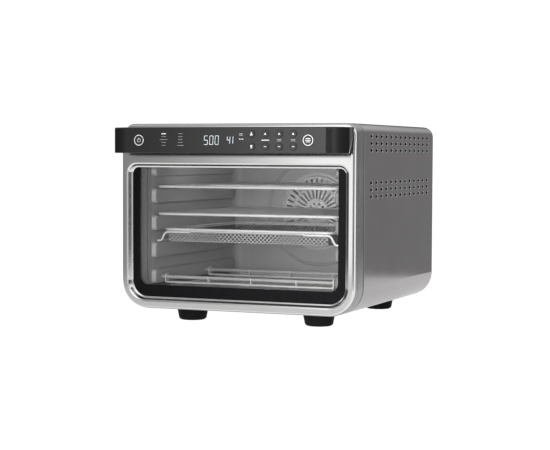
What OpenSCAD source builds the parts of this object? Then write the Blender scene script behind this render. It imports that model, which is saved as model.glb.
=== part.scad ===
// Countertop toaster oven with a drop-down glass door.
// X runs across the oven, Y from front to back, Z up from the worktop. Millimetres.
// The origin is on the worktop, under the middle of the oven's overall width and depth.
// Inside in_place(), Y is the depth behind the door's front face.

/* [Body] */
// Width of the body and the door
body_w = 424; // [416:1:440]
// Height from the worktop to the top
total_h = 339; // [335:1:350]
// Depth from the door's front face to the back of the rear panel
body_d = 427; // [424:1:440]
// Gap between the worktop and the underside
foot_h = 25; // [24:0.5:28]
// Corner radius of the body and the door at the bottom
bottom_r = 46; // [40:1:50]
// Corner radius of the body and the door at the top
top_r = 19; // [12:1:24]
// How far the motor cover stands out behind the rear panel
motor_cover_d = 37; // [35:1:45]
// Thickness of the outer sheet
skin_t = 1.5; // [1.2:0.1:2]
// Depth of the dark band between the door and the outer sheet
bezel_d = 27; // [26:0.5:30]

/* [Door] */
// Depth of the door's steel rim
door_rim_d = 14; // [13:0.5:14.5]
// Face width of the door's side stiles
stile_w = 12.5; // [11:0.5:16]
// Height of the lower edge of the window opening
window_z0 = 39; // [38:1:44]
// Height of the upper edge of the window opening
window_z1 = 271; // [268:1:276]
// Width of the bevel round the window opening
bevel_w = 6; // [4:0.5:8]
// Depth of the glass behind the door's face
glass_recess = 8; // [7:0.5:9]
// Thickness of each glass pane
glass_t = 4; // [3:0.5:4]
// Height above which the door's face leans back
lean_z = 294; // [290:1:300]
// How far the door's face leans back at the top
lean_d = 9; // [4:1:10]
// Radius of the hinge pins
hinge_pin_r = 2.5; // [2:0.1:2.8]
// Depth of the hinge axis behind the door's face
hinge_y = 16; // [15.5:0.5:16.5]
// Height of the hinge axis above the worktop
hinge_z = 31; // [30.5:0.5:32]

/* [Handle] */
// Height of the handle's lower edge
handle_z0 = 289; // [288:1:295]
// Height of the handle's front face
handle_h = 43; // [38:1:44]
// How far the handle's face stands out in front of the door
handle_out = 49.5; // [45:0.5:52]
// Plan radius of the handle's ends
handle_r = 35; // [25:1:38]
// Radius of the two ring buttons
ring_button_r = 9.2; // [8:0.1:10]
// Radius of the eight small buttons
small_button_r = 5.7; // [5:0.1:6.5]
// How far a button stands out from the handle's face
button_proud = 0.5; // [0.3:0.1:0.8]
// Distance between two columns of small buttons
button_dx = 24.2; // [20:0.1:25]
// Distance between the two rows of small buttons
button_dz = 20.4; // [18:0.1:21]

/* [Cavity] */
// Half width of the cavity between its side walls
cavity_hw = 172; // [170:0.5:175]
// Height of the cavity floor above the worktop
cavity_z0 = 54; // [52:1:56]
// Height of the cavity ceiling above the worktop
cavity_z1 = 288; // [284:1:292]
// Depth of the cavity's back wall
cavity_back = 385; // [380:1:388]
// Thickness of the cavity's sheet
liner_t = 1.2; // [1:0.1:1.5]
// How far the rack ledges stand in from the side walls
land_d = 8; // [6:0.5:9]
// Radius of the cavity's rear corners
cavity_r = 18; // [12:1:24]

/* [Fan] */
// Height of the fan axis above the worktop
fan_z = 180; // [170:1:190]
// Outer radius of the round fan guard
grille_r = 68; // [60:1:74]
// Radius of the pressed ring round the guard
ring_r = 101; // [95:1:104]
// Radius of the motor shaft
shaft_r = 3; // [2.5:0.1:4]

/* [Inside parts] */
// Height of the upper rack's wires
upper_rack_z = 232; // [231.8:0.1:234]
// Height of the lower rack's wires
lower_rack_z = 185; // [184.8:0.1:187]
// Half width of a rack
rack_hw = 168; // [165:0.5:169]
// Height of the basket's runners
basket_z = 138.3; // [138.2:0.1:140]
// Radius of a heating rod
rod_r = 3.2; // [2.8:0.1:3.6]
// Height of the lower heating rods
lower_rod_z = 75; // [74:1:77]
// Height of the upper heating rods
upper_rod_z = 276; // [275:1:278]

/* [Hidden] */
$fn = 64;

eps = 0.01;
handle_front = handle_out + button_proud;
front_y = handle_front - (handle_front + body_d + motor_cover_d) / 2;
half_w = body_w / 2;

// Depths behind the door's face
bezel_y0 = 16;
bezel_y1 = bezel_y0 + bezel_d;
flange_y = 31;
flange_t = 2;
wrap_y0 = bezel_y1 + 1;
rear_y = body_d - 2;
cavity_front = flange_y + flange_t;
inner_frame_y0 = glass_recess + glass_t;
inner_frame_y1 = 28.5;

// The outer sheet's rear lip, and the openings of the base pan and the rear panel
wrap_lip = 13;
base_slot_y = [150, 260];
base_slot_len = 70;
base_slot_w = 5;
base_slot_pitch = 14;
rear_opening_hw = 100;
rear_opening_hh = 60;
rear_slot_z = [58, 258];
rear_slot_len = 26;
rear_slot_w = 4;
rear_slot_pitch = 18;

// The bezel and the door seal
bezel_wall = 3;
tongue_y1 = wrap_y0 + 14;
tongue_gap = 0.1;
hinge_notch_hw = 190;
hinge_notch_y = hinge_y + 6.5;
mouth_r = 4;
gasket_w = 6;
gasket_margin = 12;
gasket_r = 14;
gasket_gap = 0.3;

// The base and feet
base_hw = 165;
base_gap_hw = 150;
base_z = foot_h + skin_t;
foot_x = 118;
foot_y_front = 86;
foot_y_rear = 396;
foot_top_r = 28;
foot_bottom_r = 25;
foot_edge_r = 4;
screw_hole_r = 2.6;
counterbore_r = 6;
counterbore_z = 14;

// The screws: radius, head, and how long each kind is
screw_r = 1.9;
screw_head_r = 3.8;
screw_head_h = 2;
panel_screw_len = 8;
cover_screw_len = 7;
foot_screw_end = 4;
panel_screws = [[-204, 110], [204, 110], [-204, 250], [204, 250], [-130, 331], [130, 331],
    [0, 331]];

// The side vents
vent_cols = 13;
vent_pitch_y = 26;
vent_pitch_z = 11.5;
vent_y0 = 80;
vent_len = 10;
vent_h = 4;
vent_rows_z = [306.5, 230];

// The pressed rack ledges of a side wall: lower and upper height of each
lands = [[64, 89], [109, 136], [156, 182], [203, 229], [249.5, 267]];
land_y0 = 35;
land_y1 = 362;
rod_y = [60, 235];
rod_hole_r = rod_r + 0.8;

// The heating rods: half length of the sheath and of the thinner terminals, and the terminals' radius
rod_hw = 181;
terminal_hw = 188;
terminal_r = 2;

// The rods' supports: rail, end brackets, saddles and hangers
rail_z0 = lower_rod_z - 10;
rail_t = 1.2;
rail_w = 8;
bracket_x = 155;
bracket_w = 12;
bracket_t = 2;
bracket_over = 5;
clip_x = [-75, 5, 88];
clip_w = 8;
clip_d = 6;
hanger_x = [-90, 0, 90];

// The lamp in the ceiling
lamp_x = 110;
lamp_y = 140;
lamp_r = 21;
lens_flange = 4;
bulb_r = 9;

// The door's window corners, its inner frame and the hinge
window_rb = 34;
window_rt = 16;
door_wall = 2;
inner_hw = 196;
inner_z0 = 44;
inner_z1 = 322;
inner_window_hw = 178;
inner_window_z0 = 62;
inner_window_z1 = 277;
inner_wall = 1.5;
inner_glass_lap = 9;
hinge_plate_x_in = 126;
hinge_plate_x_out = 151;
hinge_plate_t = 3;
knuckle_r = 5.3;
lug_r = 5;
lug_gap = 0.5;
pin_over = 1.5;
pin_head_r = 4;

// The handle's sloping back
handle_z1 = handle_z0 + handle_h;
handle_wall = 2.5;
back_y_low = -24;
back_y_high = -5;
back_angle = atan2(back_y_high - back_y_low, handle_h);
handle_mid_z = handle_z0 + handle_h / 2;
post_x = 150;
post_w = 50;
post_z0 = 300;
post_z1 = 322;
button_gap = 0.3;
flange_extra = 1.1;
board_y = -43;
board_hw = 175;
board_t = 1.6;
board_margin = 5;
switch_r = 2.2;
display_x0 = -44;
display_x1 = 36;
display_hh = 11;

// Buttons: X of the ring buttons and of the first small column
power_x = -152;
start_x = 150;
small_x0 = 52;
ring_buttons = [[power_x, handle_mid_z], [start_x, handle_mid_z]];
small_buttons = [for (col = [0 : 3], row = [-1, 1])
    [small_x0 + col * button_dx, handle_mid_z + row * button_dz / 2]];

// The fan and motor, as depths behind the door's face
grille_y = 376;
housing_y0 = cavity_back + liner_t;
housing_y1 = 411;
housing_r = 78;
motor_y0 = 415;
motor_y1 = 441;
motor_r = 28;
housing_flange = 8;
motor_boss_r = 9;
motor_post = 17;
motor_post_r = 3.5;

// The guard's slots: how many, distance of the inner end from the middle, length and width
outer_slots = 36;
outer_slot = [49, 14, 3.6];
inner_slots = 28;
inner_slot = [24, 20, 2.6];
hub_holes = 10;
hub_hole_at = 15;
hub_hole_r = 2;

// The two fans and their shaft
fan_y = 392;
fan_r = 60;
fan_depth = 12;
fan_hub_r = 9;
fan_blades = 10;
blade_root = 26;
blade_t = 1.2;
cooling_y = 447;
cooling_depth = 11;
cooling_blades = 7;
cooling_root = 7;
cooling_blade_len = 38;
cooling_blade_w = 14;
cooling_pitch = 35;
shaft_y0 = 391;
shaft_y1 = 460;

// The motor cover
cover_hw = 125;
cover_hh = 75;
cover_r = 16;
cover_flange = 12;
cover_screw_in = 3;
louvres = 9;
louvre_x = 62;
louvre_len = 84;
louvre_w = 4;
louvre_pitch = 13;

// The cord gland
gland_x = 150;
gland_z = 62;
gland_r = 8.9;
gland_bore_r = 4.2;

// The temperature sensor in the back wall
sensor_x = 130;
sensor_z = 262;
sensor_r = 1.6;
sensor_len = 40;

// The power board on the right side, and the cable from it
power_board_x0 = 194;
power_board_x1 = 195.6;
power_board_y = [130, 320];
power_board_z = [96, 246];
part_h = 14;
standoff_r = 3;
cable_x = 186;
cable_z = 92;
cable_y0 = 70;
cable_y1 = 419;
cable_branch_y = 305;
cable_r = 3;

// The racks, basket and tray
rack_y0 = 42;
rack_y1 = 370;
rack_wire_r = 2.6;
cross_wire_r = 1.4;
cross_wires = 15;
cross_pitch = 21;
basket_hw = 152;
basket_y0 = 50;
basket_y1 = 345;
basket_h = 19;
mesh_t = 1;
rim_wire_r = 2.3;
runner_r = 2;
tray_hw = 160;
tray_y0 = 38;
tray_y1 = 376;
tray_h = 5.7;
tray_gap = 0.3;
tray_t = 0.8;
runner_x = 167.5;
mesh_drop = 1.3;

// ---------------------------------------------------------------- shared shapes

module in_place() {
    translate([0, front_y, 0]) children();
}

// A flat shape in X and Z, made solid from depth y0 to depth y1
module slab(y0, y1) {
    translate([0, y1, 0]) rotate([90, 0, 0]) linear_extrude(y1 - y0) children();
}

// A flat shape in Y and Z, made solid from x0 to x1
module across(x0, x1) {
    translate([x0, 0, 0]) rotate([90, 0, 90]) linear_extrude(x1 - x0) children();
}

module box(x0, x1, y0, y1, z0, z1) {
    translate([x0, y0, z0]) cube([x1 - x0, y1 - y0, z1 - z0]);
}

// A flat panel with one corner radius at the bottom and another at the top
module panel2d(hw, z0, z1, rb, rt) {
    translate([-hw, z0 + rb]) square([2 * hw, z1 - z0 - rb - rt]);
    translate([-hw + rb, z0]) square([2 * (hw - rb), rb + 1]);
    translate([-hw + rt, z1 - rt - 1]) square([2 * (hw - rt), rt + 1]);
    for (s = [-1, 1]) {
        translate([s * (hw - rb), z0 + rb]) circle(r = rb);
        translate([s * (hw - rt), z1 - rt]) circle(r = rt);
    }
}

// The outline that the body and the door share
module outline(inset = 0) {
    panel2d(half_w - inset, foot_h + inset, total_h - inset, bottom_r - inset, top_r - inset);
}

module rod_along_x(x0, x1, r, sides = 64) {
    translate([x0, 0, 0]) rotate([0, 90, 0]) cylinder(h = x1 - x0, r = r, $fn = sides);
}

module rod_along_y(y0, y1, r, sides = 64) {
    translate([0, y0, 0]) rotate([-90, 0, 0]) cylinder(h = y1 - y0, r = r, $fn = sides);
}

// A wire between two points of one X-Z plane
module wire_xz(x0, z0, x1, z1, r) {
    length = norm([x1 - x0, z1 - z0]);
    translate([x0, 0, z0]) rotate([0, atan2(x1 - x0, z1 - z0), 0]) cylinder(h = length, r = r, $fn = 8);
}

// Places a shape whose own Z axis becomes the fan axis, pointing back from depth y
module on_fan_axis(y) {
    translate([0, y, fan_z]) rotate([-90, 0, 0]) children();
}

// ---------------------------------------------------------------- fixed body

module vent_slots() {
    for (z = vent_rows_z, row = [-1, 0, 1], col = [0 : vent_cols - 1])
        translate([vent_y0 + col * vent_pitch_y, z + row * vent_pitch_z]) {
            square([vent_len - vent_h, vent_h], center = true);
            for (s = [-1, 1]) translate([s * (vent_len - vent_h) / 2, 0]) circle(d = vent_h);
        }
}

module outer_wrap() {
    color("dimgray") in_place() difference() {
        union() {
            slab(wrap_y0, rear_y) difference() {
                outline();
                outline(skin_t);
            }
            slab(rear_y - skin_t, rear_y) difference() {
                outline(skin_t / 2);
                outline(wrap_lip);
            }
        }
        box(-base_gap_hw, base_gap_hw, wrap_y0 - 1, rear_y + 1, foot_h - 1, foot_h + 20);
        across(-half_w - 1, half_w + 1) vent_slots();
    }
}

module base_pan() {
    color("gray") in_place() difference() {
        box(-base_hw, base_hw, wrap_y0 + 16, rear_y - skin_t, base_z, base_z + skin_t);
        for (i = [-5 : 5], y = base_slot_y)
            translate([i * base_slot_pitch, 0, 0])
                box(-base_slot_w / 2, base_slot_w / 2, y, y + base_slot_len, base_z - 1, base_z + skin_t + 1);
    }
}

module rear_panel() {
    color("dimgray") in_place() difference() {
        slab(rear_y, body_d) outline();
        box(-rear_opening_hw, rear_opening_hw, rear_y - 1, body_d + 1,
            fan_z - rear_opening_hh, fan_z + rear_opening_hh);
        for (i = [-7 : 7], z = rear_slot_z)
            translate([i * rear_slot_pitch, 0, z])
                box(-rear_slot_w / 2, rear_slot_w / 2, rear_y - 1, body_d + 1, 0, rear_slot_len);
        translate([gland_x, 0, gland_z]) rod_along_y(rear_y - 1, body_d + 1, gland_r + 0.1);
    }
}

module motor_cover() {
    y1 = body_d + motor_cover_d;
    color("#2a2a2c") in_place() difference() {
        union() {
            slab(body_d, y1)
                panel2d(cover_hw, fan_z - cover_hh, fan_z + cover_hh, cover_r, cover_r);
            slab(body_d, body_d + skin_t)
                panel2d(cover_hw + cover_flange, fan_z - cover_hh - cover_flange,
                    fan_z + cover_hh + cover_flange, cover_r, cover_r);
        }
        slab(body_d - 1, y1 - skin_t)
            panel2d(cover_hw - skin_t, fan_z - cover_hh + skin_t, fan_z + cover_hh - skin_t,
                cover_r - skin_t, cover_r - skin_t);
        for (i = [-(louvres - 1) / 2 : (louvres - 1) / 2], s = [-1, 1])
            translate([s * louvre_x, 0, fan_z + i * louvre_pitch])
                box(-louvre_len / 2, louvre_len / 2, y1 - 4, y1 + 1, -louvre_w / 2, louvre_w / 2);
    }
}

module front_bezel() {
    color("#4a4a4c") in_place() difference() {
        union() {
            slab(bezel_y0, bezel_y1) difference() {
                outline();
                outline(bezel_wall);
            }
            slab(flange_y, cavity_front) outline(bezel_wall - 0.5);
            slab(bezel_y1 - 1, tongue_y1) difference() {
                outline(skin_t + tongue_gap);
                outline(bezel_wall + tongue_gap);
            }
        }
        slab(flange_y - 1, cavity_front + 1)
            panel2d(cavity_hw, cavity_z0, cavity_z1, mouth_r, mouth_r);
        box(-hinge_notch_hw, hinge_notch_hw, bezel_y0 - 1, hinge_notch_y, foot_h - 1, hinge_z);
    }
}

module gasket_edge(margin, r) {
    panel2d(cavity_hw + margin, cavity_z0 - margin + 1, cavity_z1 + margin, r, r);
}

module door_gasket() {
    color("#1c1c1e") in_place() slab(inner_frame_y1 + gasket_gap, flange_y) difference() {
        gasket_edge(gasket_margin, gasket_r);
        gasket_edge(gasket_margin - gasket_w, gasket_r - gasket_w);
    }
}

// The left side wall; the right one is its mirror image
module side_wall() {
    wall_y1 = cavity_back - cavity_r;
    difference() {
        union() {
            box(-cavity_hw - liner_t, -cavity_hw, cavity_front, wall_y1, cavity_z0, cavity_z1);
            for (p = lands)
                box(-cavity_hw - eps, -cavity_hw + land_d, land_y0, land_y1, p[0], p[1]);
        }
        for (p = lands)
            box(-cavity_hw - liner_t - 1, -cavity_hw + land_d - liner_t,
                land_y0 + liner_t, land_y1 - liner_t, p[0] + liner_t, p[1] - liner_t);
        for (y = rod_y, z = [lower_rod_z, upper_rod_z])
            translate([0, y, z]) rod_along_x(-cavity_hw - 3, -cavity_hw + land_d + 1, rod_hole_r);
    }
}

module cavity_left_wall() {
    color("silver") in_place() side_wall();
}

module cavity_right_wall() {
    color("silver") in_place() mirror([1, 0, 0]) side_wall();
}

module cavity_top() {
    hw = cavity_hw + liner_t;
    color("silver") in_place() difference() {
        box(-hw, hw, cavity_front, cavity_back - cavity_r, cavity_z1, cavity_z1 + liner_t);
        translate([lamp_x, lamp_y, cavity_z1 - 1]) cylinder(h = 4, r = lamp_r);
    }
}

module cavity_floor() {
    hw = cavity_hw + liner_t;
    color("silver") in_place()
        box(-hw, hw, cavity_front, cavity_back - cavity_r, cavity_z0 - liner_t, cavity_z0);
}

// The back wall turns forwards at all four edges to meet the other walls
module cavity_back_wall() {
    hw = cavity_hw;
    corner_y = cavity_back - cavity_r;
    color("silver") in_place() difference() {
        union() {
            box(-hw + cavity_r, hw - cavity_r, cavity_back, cavity_back + liner_t,
                cavity_z0 - liner_t, cavity_z1 + liner_t);
            for (s = [-1, 1]) intersection() {
                translate([s * (hw - cavity_r), corner_y, cavity_z0 - liner_t]) difference() {
                    cylinder(h = cavity_z1 - cavity_z0 + 2 * liner_t, r = cavity_r + liner_t);
                    translate([0, 0, -1]) cylinder(h = cavity_z1 - cavity_z0 + 8, r = cavity_r);
                }
                box(s > 0 ? hw - cavity_r : -hw - 2, s > 0 ? hw + 2 : -hw + cavity_r,
                    corner_y, cavity_back + 2, cavity_z0 - 3, cavity_z1 + 3);
            }
            for (z = [cavity_z0 - liner_t, cavity_z1])
                box(-hw + cavity_r, hw - cavity_r, corner_y, cavity_back + 0.5, z, z + liner_t);
            on_fan_axis(cavity_back + 0.3) rotate_extrude() translate([ring_r, 0]) circle(r = 3);
        }
        on_fan_axis(cavity_back - 5) cylinder(h = 12, r = grille_r - 6);
        translate([sensor_x, 0, sensor_z])
            rod_along_y(cavity_back - 1, cavity_back + 4, sensor_r + 0.1);
        box(-hw, hw, cavity_back + liner_t, cavity_back + 9, cavity_z0, cavity_z1);
    }
}

// A ring of radial slots, each given as its inner end, its length and its width
module slot_ring(count, slot) {
    for (i = [0 : count - 1])
        rotate(i * 360 / count) translate([slot[0], -slot[2] / 2]) square([slot[1], slot[2]]);
}

module grille_pattern() {
    slot_ring(outer_slots, outer_slot);
    slot_ring(inner_slots, inner_slot);
    for (i = [0 : hub_holes - 1])
        rotate(i * 360 / hub_holes) translate([hub_hole_at, 0]) circle(r = hub_hole_r);
}

module fan_grille() {
    depth = cavity_back - grille_y;
    color("lightgray") in_place() on_fan_axis(grille_y) difference() {
        union() {
            cylinder(h = depth, r = grille_r);
            translate([0, 0, depth - 1]) cylinder(h = 1, r = grille_r + 5);
        }
        translate([0, 0, 1]) cylinder(h = depth + 1, r = grille_r - 1);
        translate([0, 0, -1]) linear_extrude(4) grille_pattern();
    }
}

module fan_housing() {
    depth = housing_y1 - housing_y0;
    color("gray") in_place() on_fan_axis(housing_y0) rotate_extrude() polygon([
        [shaft_r + 1, depth], [shaft_r + 1, depth - liner_t], [housing_r - liner_t, depth - liner_t],
        [housing_r - liner_t, 0], [housing_r + housing_flange, 0], [housing_r + housing_flange, liner_t],
        [housing_r, liner_t], [housing_r, depth]]);
}

module fan_motor() {
    color("#777777") in_place() difference() {
        union() {
            on_fan_axis(motor_y0) cylinder(h = motor_y1 - motor_y0, r = motor_r);
            on_fan_axis(motor_y0 - 3) cylinder(h = motor_y1 - motor_y0 + 6, r = motor_boss_r);
            for (sx = [-1, 1], sz = [-1, 1])
                translate([sx * motor_post, 0, fan_z + sz * motor_post])
                    rod_along_y(housing_y1, motor_y0 + 1, motor_post_r);
        }
        on_fan_axis(motor_y0 - 5) cylinder(h = 40, r = shaft_r + 0.05);
    }
}

module heating_rod(y, z) {
    color("#888078") in_place() translate([0, y, z]) {
        rod_along_x(-rod_hw, rod_hw, rod_r);
        for (s = [-1, 1]) mirror([s < 0 ? 1 : 0, 0, 0]) rod_along_x(rod_hw - 1, terminal_hw, terminal_r);
    }
}

module lower_front_element() {
    heating_rod(rod_y[0], lower_rod_z);
}

module lower_rear_element() {
    heating_rod(rod_y[1], lower_rod_z);
}

module upper_front_element() {
    heating_rod(rod_y[0], upper_rod_z);
}

module upper_rear_element() {
    heating_rod(rod_y[1], upper_rod_z);
}

module bracket(x, y, z0, z1) {
    box(x - bracket_t / 2, x + bracket_t / 2, y - bracket_w / 2, y + bracket_w / 2, z0, z1);
}

// Below each lower rod: a rail, two end brackets and three saddles. Above each upper rod: hangers
module element_supports() {
    color("silver") in_place() {
        for (y = rod_y) {
            difference() {
                union() {
                    box(-bracket_x, bracket_x, y - rail_w / 2, y + rail_w / 2, rail_z0, rail_z0 + rail_t);
                    for (s = [-1, 1]) bracket(s * bracket_x, y, rail_z0, lower_rod_z + bracket_over);
                    for (x = clip_x)
                        box(x - clip_w / 2, x + clip_w / 2, y - clip_d / 2, y + clip_d / 2,
                            rail_z0 + 1, lower_rod_z - 1);
                }
                translate([0, y, lower_rod_z]) rod_along_x(-165, 165, rod_r + 0.05);
            }
            for (x = hanger_x) difference() {
                bracket(x, y, upper_rod_z - bracket_over - 1, cavity_z1);
                translate([0, y, upper_rod_z]) rod_along_x(x - 2, x + 2, rod_r + 0.05);
            }
        }
    }
}

module terminal_insulators() {
    x0 = cavity_hw + liner_t;
    color("ivory") in_place() for (y = rod_y, z = [lower_rod_z, upper_rod_z], s = [-1, 1])
        translate([0, y, z]) mirror([s < 0 ? 1 : 0, 0, 0]) difference() {
            rod_along_x(x0, x0 + 6, 8);
            rod_along_x(x0 - 1, x0 + 7, rod_r + 0.05);
        }
}

module lamp_lens() {
    color("white") in_place() translate([lamp_x, lamp_y, 0]) {
        translate([0, 0, cavity_z1 - 1.5]) cylinder(h = 3, r = lamp_r - 0.5);
        translate([0, 0, cavity_z1 + liner_t]) cylinder(h = 2, r = lamp_r + lens_flange);
    }
}

module lamp_bulb() {
    z0 = cavity_z1 + liner_t + 2;
    color("ivory") in_place() translate([lamp_x, lamp_y, 0]) {
        translate([0, 0, z0 + 12]) sphere(r = bulb_r);
        translate([0, 0, z0 + 16]) cylinder(h = 10, r = 7);
        translate([0, 0, z0 + 24]) cylinder(h = 12, r = 14);
        for (s = [-1, 1]) translate([s * 18, 0, z0]) cylinder(h = 30, r = 2);
        box(-20, 20, -5, 5, z0 + 28, z0 + 32);
    }
}

module temperature_sensor() {
    flange_y0 = cavity_back + liner_t;
    color("silver") in_place() translate([sensor_x, 0, sensor_z]) {
        rod_along_y(cavity_back - sensor_len, flange_y0 + 1, sensor_r);
        rod_along_y(flange_y0, flange_y0 + 8, 4);
    }
}

// Each part on the board is its lowest depth and height, then its size along both
module power_board() {
    x0 = power_board_x0;
    parts = [[150, 110, 30, 24], [190, 110, 30, 24], [230, 110, 30, 24], [150, 200, 48, 36],
        [230, 170, 40, 12], [285, 120, 18, 40], [280, 200, 24, 24]];
    color("darkgreen") in_place() {
        box(x0, power_board_x1, power_board_y[0], power_board_y[1], power_board_z[0], power_board_z[1]);
        for (p = parts)
            box(x0 - part_h, x0 + eps, p[0], p[0] + p[2], p[1], p[1] + p[3]);
        for (y = [power_board_y[0] + 8, power_board_y[1] - 8])
            for (z = [power_board_z[0] + 8, power_board_z[1] - 8])
                translate([0, y, z]) rod_along_x(power_board_x1 - eps, half_w - skin_t, standoff_r);
    }
}

// Fixed wiring from the board, down the right side and back to the motor
module wiring_harness() {
    x = cable_x;
    z0 = cable_z;
    y0 = cable_y0;
    y1 = cable_y1;
    r = cable_r;
    color("darkred") in_place() {
        translate([x, 0, z0]) rod_along_y(y0, y1, r);
        translate([x, y0, lower_rod_z + 8]) cylinder(h = z0 - lower_rod_z - 8, r = r);
        translate([x, y1, z0]) cylinder(h = fan_z - z0, r = r);
        translate([0, y1, fan_z]) rod_along_x(motor_r, x, r);
        translate([x, cable_branch_y, z0]) cylinder(h = 12, r = r);
        translate([0, cable_branch_y, z0 + 12]) rod_along_x(x, power_board_x0, r);
        for (p = [[y0, z0], [y1, z0], [y1, fan_z], [cable_branch_y, z0 + 12]])
            translate([x, p[0], p[1]]) sphere(r = r);
    }
}

// The two bearing plates each side of a hinge lug
module hinge_brackets() {
    t = hinge_plate_t;
    color("silver") in_place() for (s = [-1, 1], x = [hinge_plate_x_in, hinge_plate_x_out])
        mirror([s < 0 ? 1 : 0, 0, 0]) difference() {
            union() {
                translate([0, hinge_y, hinge_z]) rod_along_x(x, x + t, knuckle_r);
                box(x, x + t, hinge_y, flange_y, foot_h + 3.2, hinge_z + knuckle_r);
                box(x - 3, x + t + 3, flange_y - 2, flange_y, foot_h + 3.2, hinge_z + 9);
            }
            translate([0, hinge_y, hinge_z]) rod_along_x(x - 1, x + t + 1, hinge_pin_r + 0.02);
        }
}

module hinge_pins() {
    x1 = hinge_plate_x_out + hinge_plate_t;
    color("lightgray") in_place() for (s = [-1, 1]) mirror([s < 0 ? 1 : 0, 0, 0])
        translate([0, hinge_y, hinge_z]) {
            rod_along_x(hinge_plate_x_in - pin_over, x1 + pin_over, hinge_pin_r);
            rod_along_x(x1, x1 + pin_over, pin_head_r);
        }
}

module cord_gland() {
    color("#151515") in_place() translate([gland_x, 0, gland_z]) difference() {
        union() {
            rod_along_y(rear_y - 5, body_d + 5, gland_r);
            rod_along_y(body_d, body_d + 3, gland_r + 4);
            rod_along_y(rear_y - 3, rear_y, gland_r + 2);
        }
        rod_along_y(rear_y - 6, body_d + 6, gland_bore_r);
    }
}

module foot(x, y) {
    color("#1a1a1a") in_place() translate([x, y, 0]) difference() {
        rotate_extrude() union() {
            polygon([[0, 0], [foot_bottom_r - foot_edge_r, 0], [foot_bottom_r, foot_edge_r],
                [foot_top_r, base_z - 4], [foot_top_r, base_z], [0, base_z]]);
            intersection() {
                translate([foot_bottom_r - foot_edge_r, foot_edge_r]) circle(r = foot_edge_r);
                square([foot_top_r, foot_edge_r]);
            }
        }
        translate([0, 0, -1]) cylinder(h = base_z + 2, r = screw_hole_r);
        translate([0, 0, -1]) cylinder(h = counterbore_z + 1, r = counterbore_r);
    }
}

module foot_front_left() {
    foot(-foot_x, foot_y_front);
}

module foot_front_right() {
    foot(foot_x, foot_y_front);
}

module foot_rear_left() {
    foot(-foot_x, foot_y_rear);
}

module foot_rear_right() {
    foot(foot_x, foot_y_rear);
}

module screw(length) {
    cylinder(h = length, r = screw_r);
    translate([0, 0, -screw_head_h]) cylinder(h = screw_head_h, r = screw_head_r);
}

module body_screws() {
    color("silver") in_place() {
        for (p = panel_screws)
            translate([p[0], body_d, p[1]]) rotate([90, 0, 0]) screw(panel_screw_len);
        for (sx = [-1, 1], sz = [-1, 1])
            translate([sx * (cover_hw + cover_screw_in), body_d + skin_t,
                    fan_z + sz * (cover_hh + cover_screw_in)])
                rotate([90, 0, 0]) screw(cover_screw_len);
        for (x = [-foot_x, foot_x], y = [foot_y_front, foot_y_rear])
            translate([x, y, counterbore_z]) screw(base_z + foot_screw_end - counterbore_z);
    }
}

// ---------------------------------------------------------------- door

// The space above and in front of the leaning upper part of the door's face
module lean_cut(back = 0) {
    angle = atan2(lean_d, total_h - lean_z);
    translate([0, back, lean_z]) rotate([-angle, 0, 0]) box(-half_w - 1, half_w + 1, -60, 0, 0, 80);
}

module window_bevel(grow) {
    module edge(y, in) {
        slab(y, y + eps) panel2d(half_w - stile_w - in + grow, window_z0 + in - grow,
            window_z1 - in + grow, window_rb - in + grow, window_rt - in + grow, $fn = 32);
    }
    hull() {
        edge(-1, -1);
        edge(glass_recess, bevel_w);
    }
}

module door_frame() {
    wall = door_wall;
    color("lightgray") in_place() difference() {
        difference() {
            slab(0, door_rim_d) outline();
            lean_cut();
        }
        difference() {
            slab(wall, door_rim_d + 1) outline(wall);
            lean_cut(wall);
            window_bevel(wall);
        }
        window_bevel(0);
        slab(glass_recess, door_rim_d + 1)
            panel2d(half_w - stile_w, window_z0 - 2, window_z1 + 6, 28, 16);
        box(-hinge_notch_hw, hinge_notch_hw, hinge_y - 6, 20, foot_h - 1, hinge_z);
    }
}

module door_outer_glass() {
    color("#9fb0b8", 0.4) in_place() slab(glass_recess + 0.05, glass_recess + glass_t)
        panel2d(half_w - stile_w - 1, window_z0 - 1, window_z1 + 5, 26, 14);
}

module door_inner_frame() {
    color("gray") in_place() difference() {
        slab(inner_frame_y0, inner_frame_y1) panel2d(inner_hw, inner_z0, inner_z1, 24, 12);
        slab(inner_frame_y0 - 1, inner_frame_y1 - inner_wall)
            panel2d(inner_hw - inner_wall, inner_z0 + inner_wall, inner_z1 - inner_wall, 22, 10);
        slab(inner_frame_y0 - 1, inner_frame_y1 + 1)
            panel2d(inner_window_hw, inner_window_z0, inner_window_z1, 14, 8);
    }
}

module door_inner_glass() {
    y1 = inner_frame_y1 - inner_wall;
    color("#9fb0b8", 0.4) in_place() slab(y1 - glass_t, y1)
        panel2d(inner_window_hw + inner_glass_lap, inner_window_z0 - inner_glass_lap,
            inner_window_z1 + inner_glass_lap, 20, 14);
}

module hinge_lugs() {
    x0 = hinge_plate_x_in + hinge_plate_t + lug_gap;
    x1 = hinge_plate_x_out - lug_gap;
    color("silver") in_place() for (s = [-1, 1]) mirror([s < 0 ? 1 : 0, 0, 0]) difference() {
        union() {
            translate([0, hinge_y, hinge_z]) rod_along_x(x0, x1, lug_r);
            box(x0, x1, hinge_y - 4, hinge_y + 4, hinge_z, inner_z0);
        }
        translate([0, hinge_y, hinge_z]) rod_along_x(x0 - 1, x1 + 1, hinge_pin_r + 0.06);
    }
}

// ---------------------------------------------------------------- handle and controls

module handle_plan(inset) {
    x = half_w - inset;
    r = handle_r - inset;
    y = -handle_out + inset;
    translate([-x, y + r]) square([2 * x, -y - r]);
    translate([-x + r, y]) square([2 * (x - r), r + 1]);
    for (s = [-1, 1]) translate([s * (x - r), y + r]) circle(r = r);
}

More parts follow.
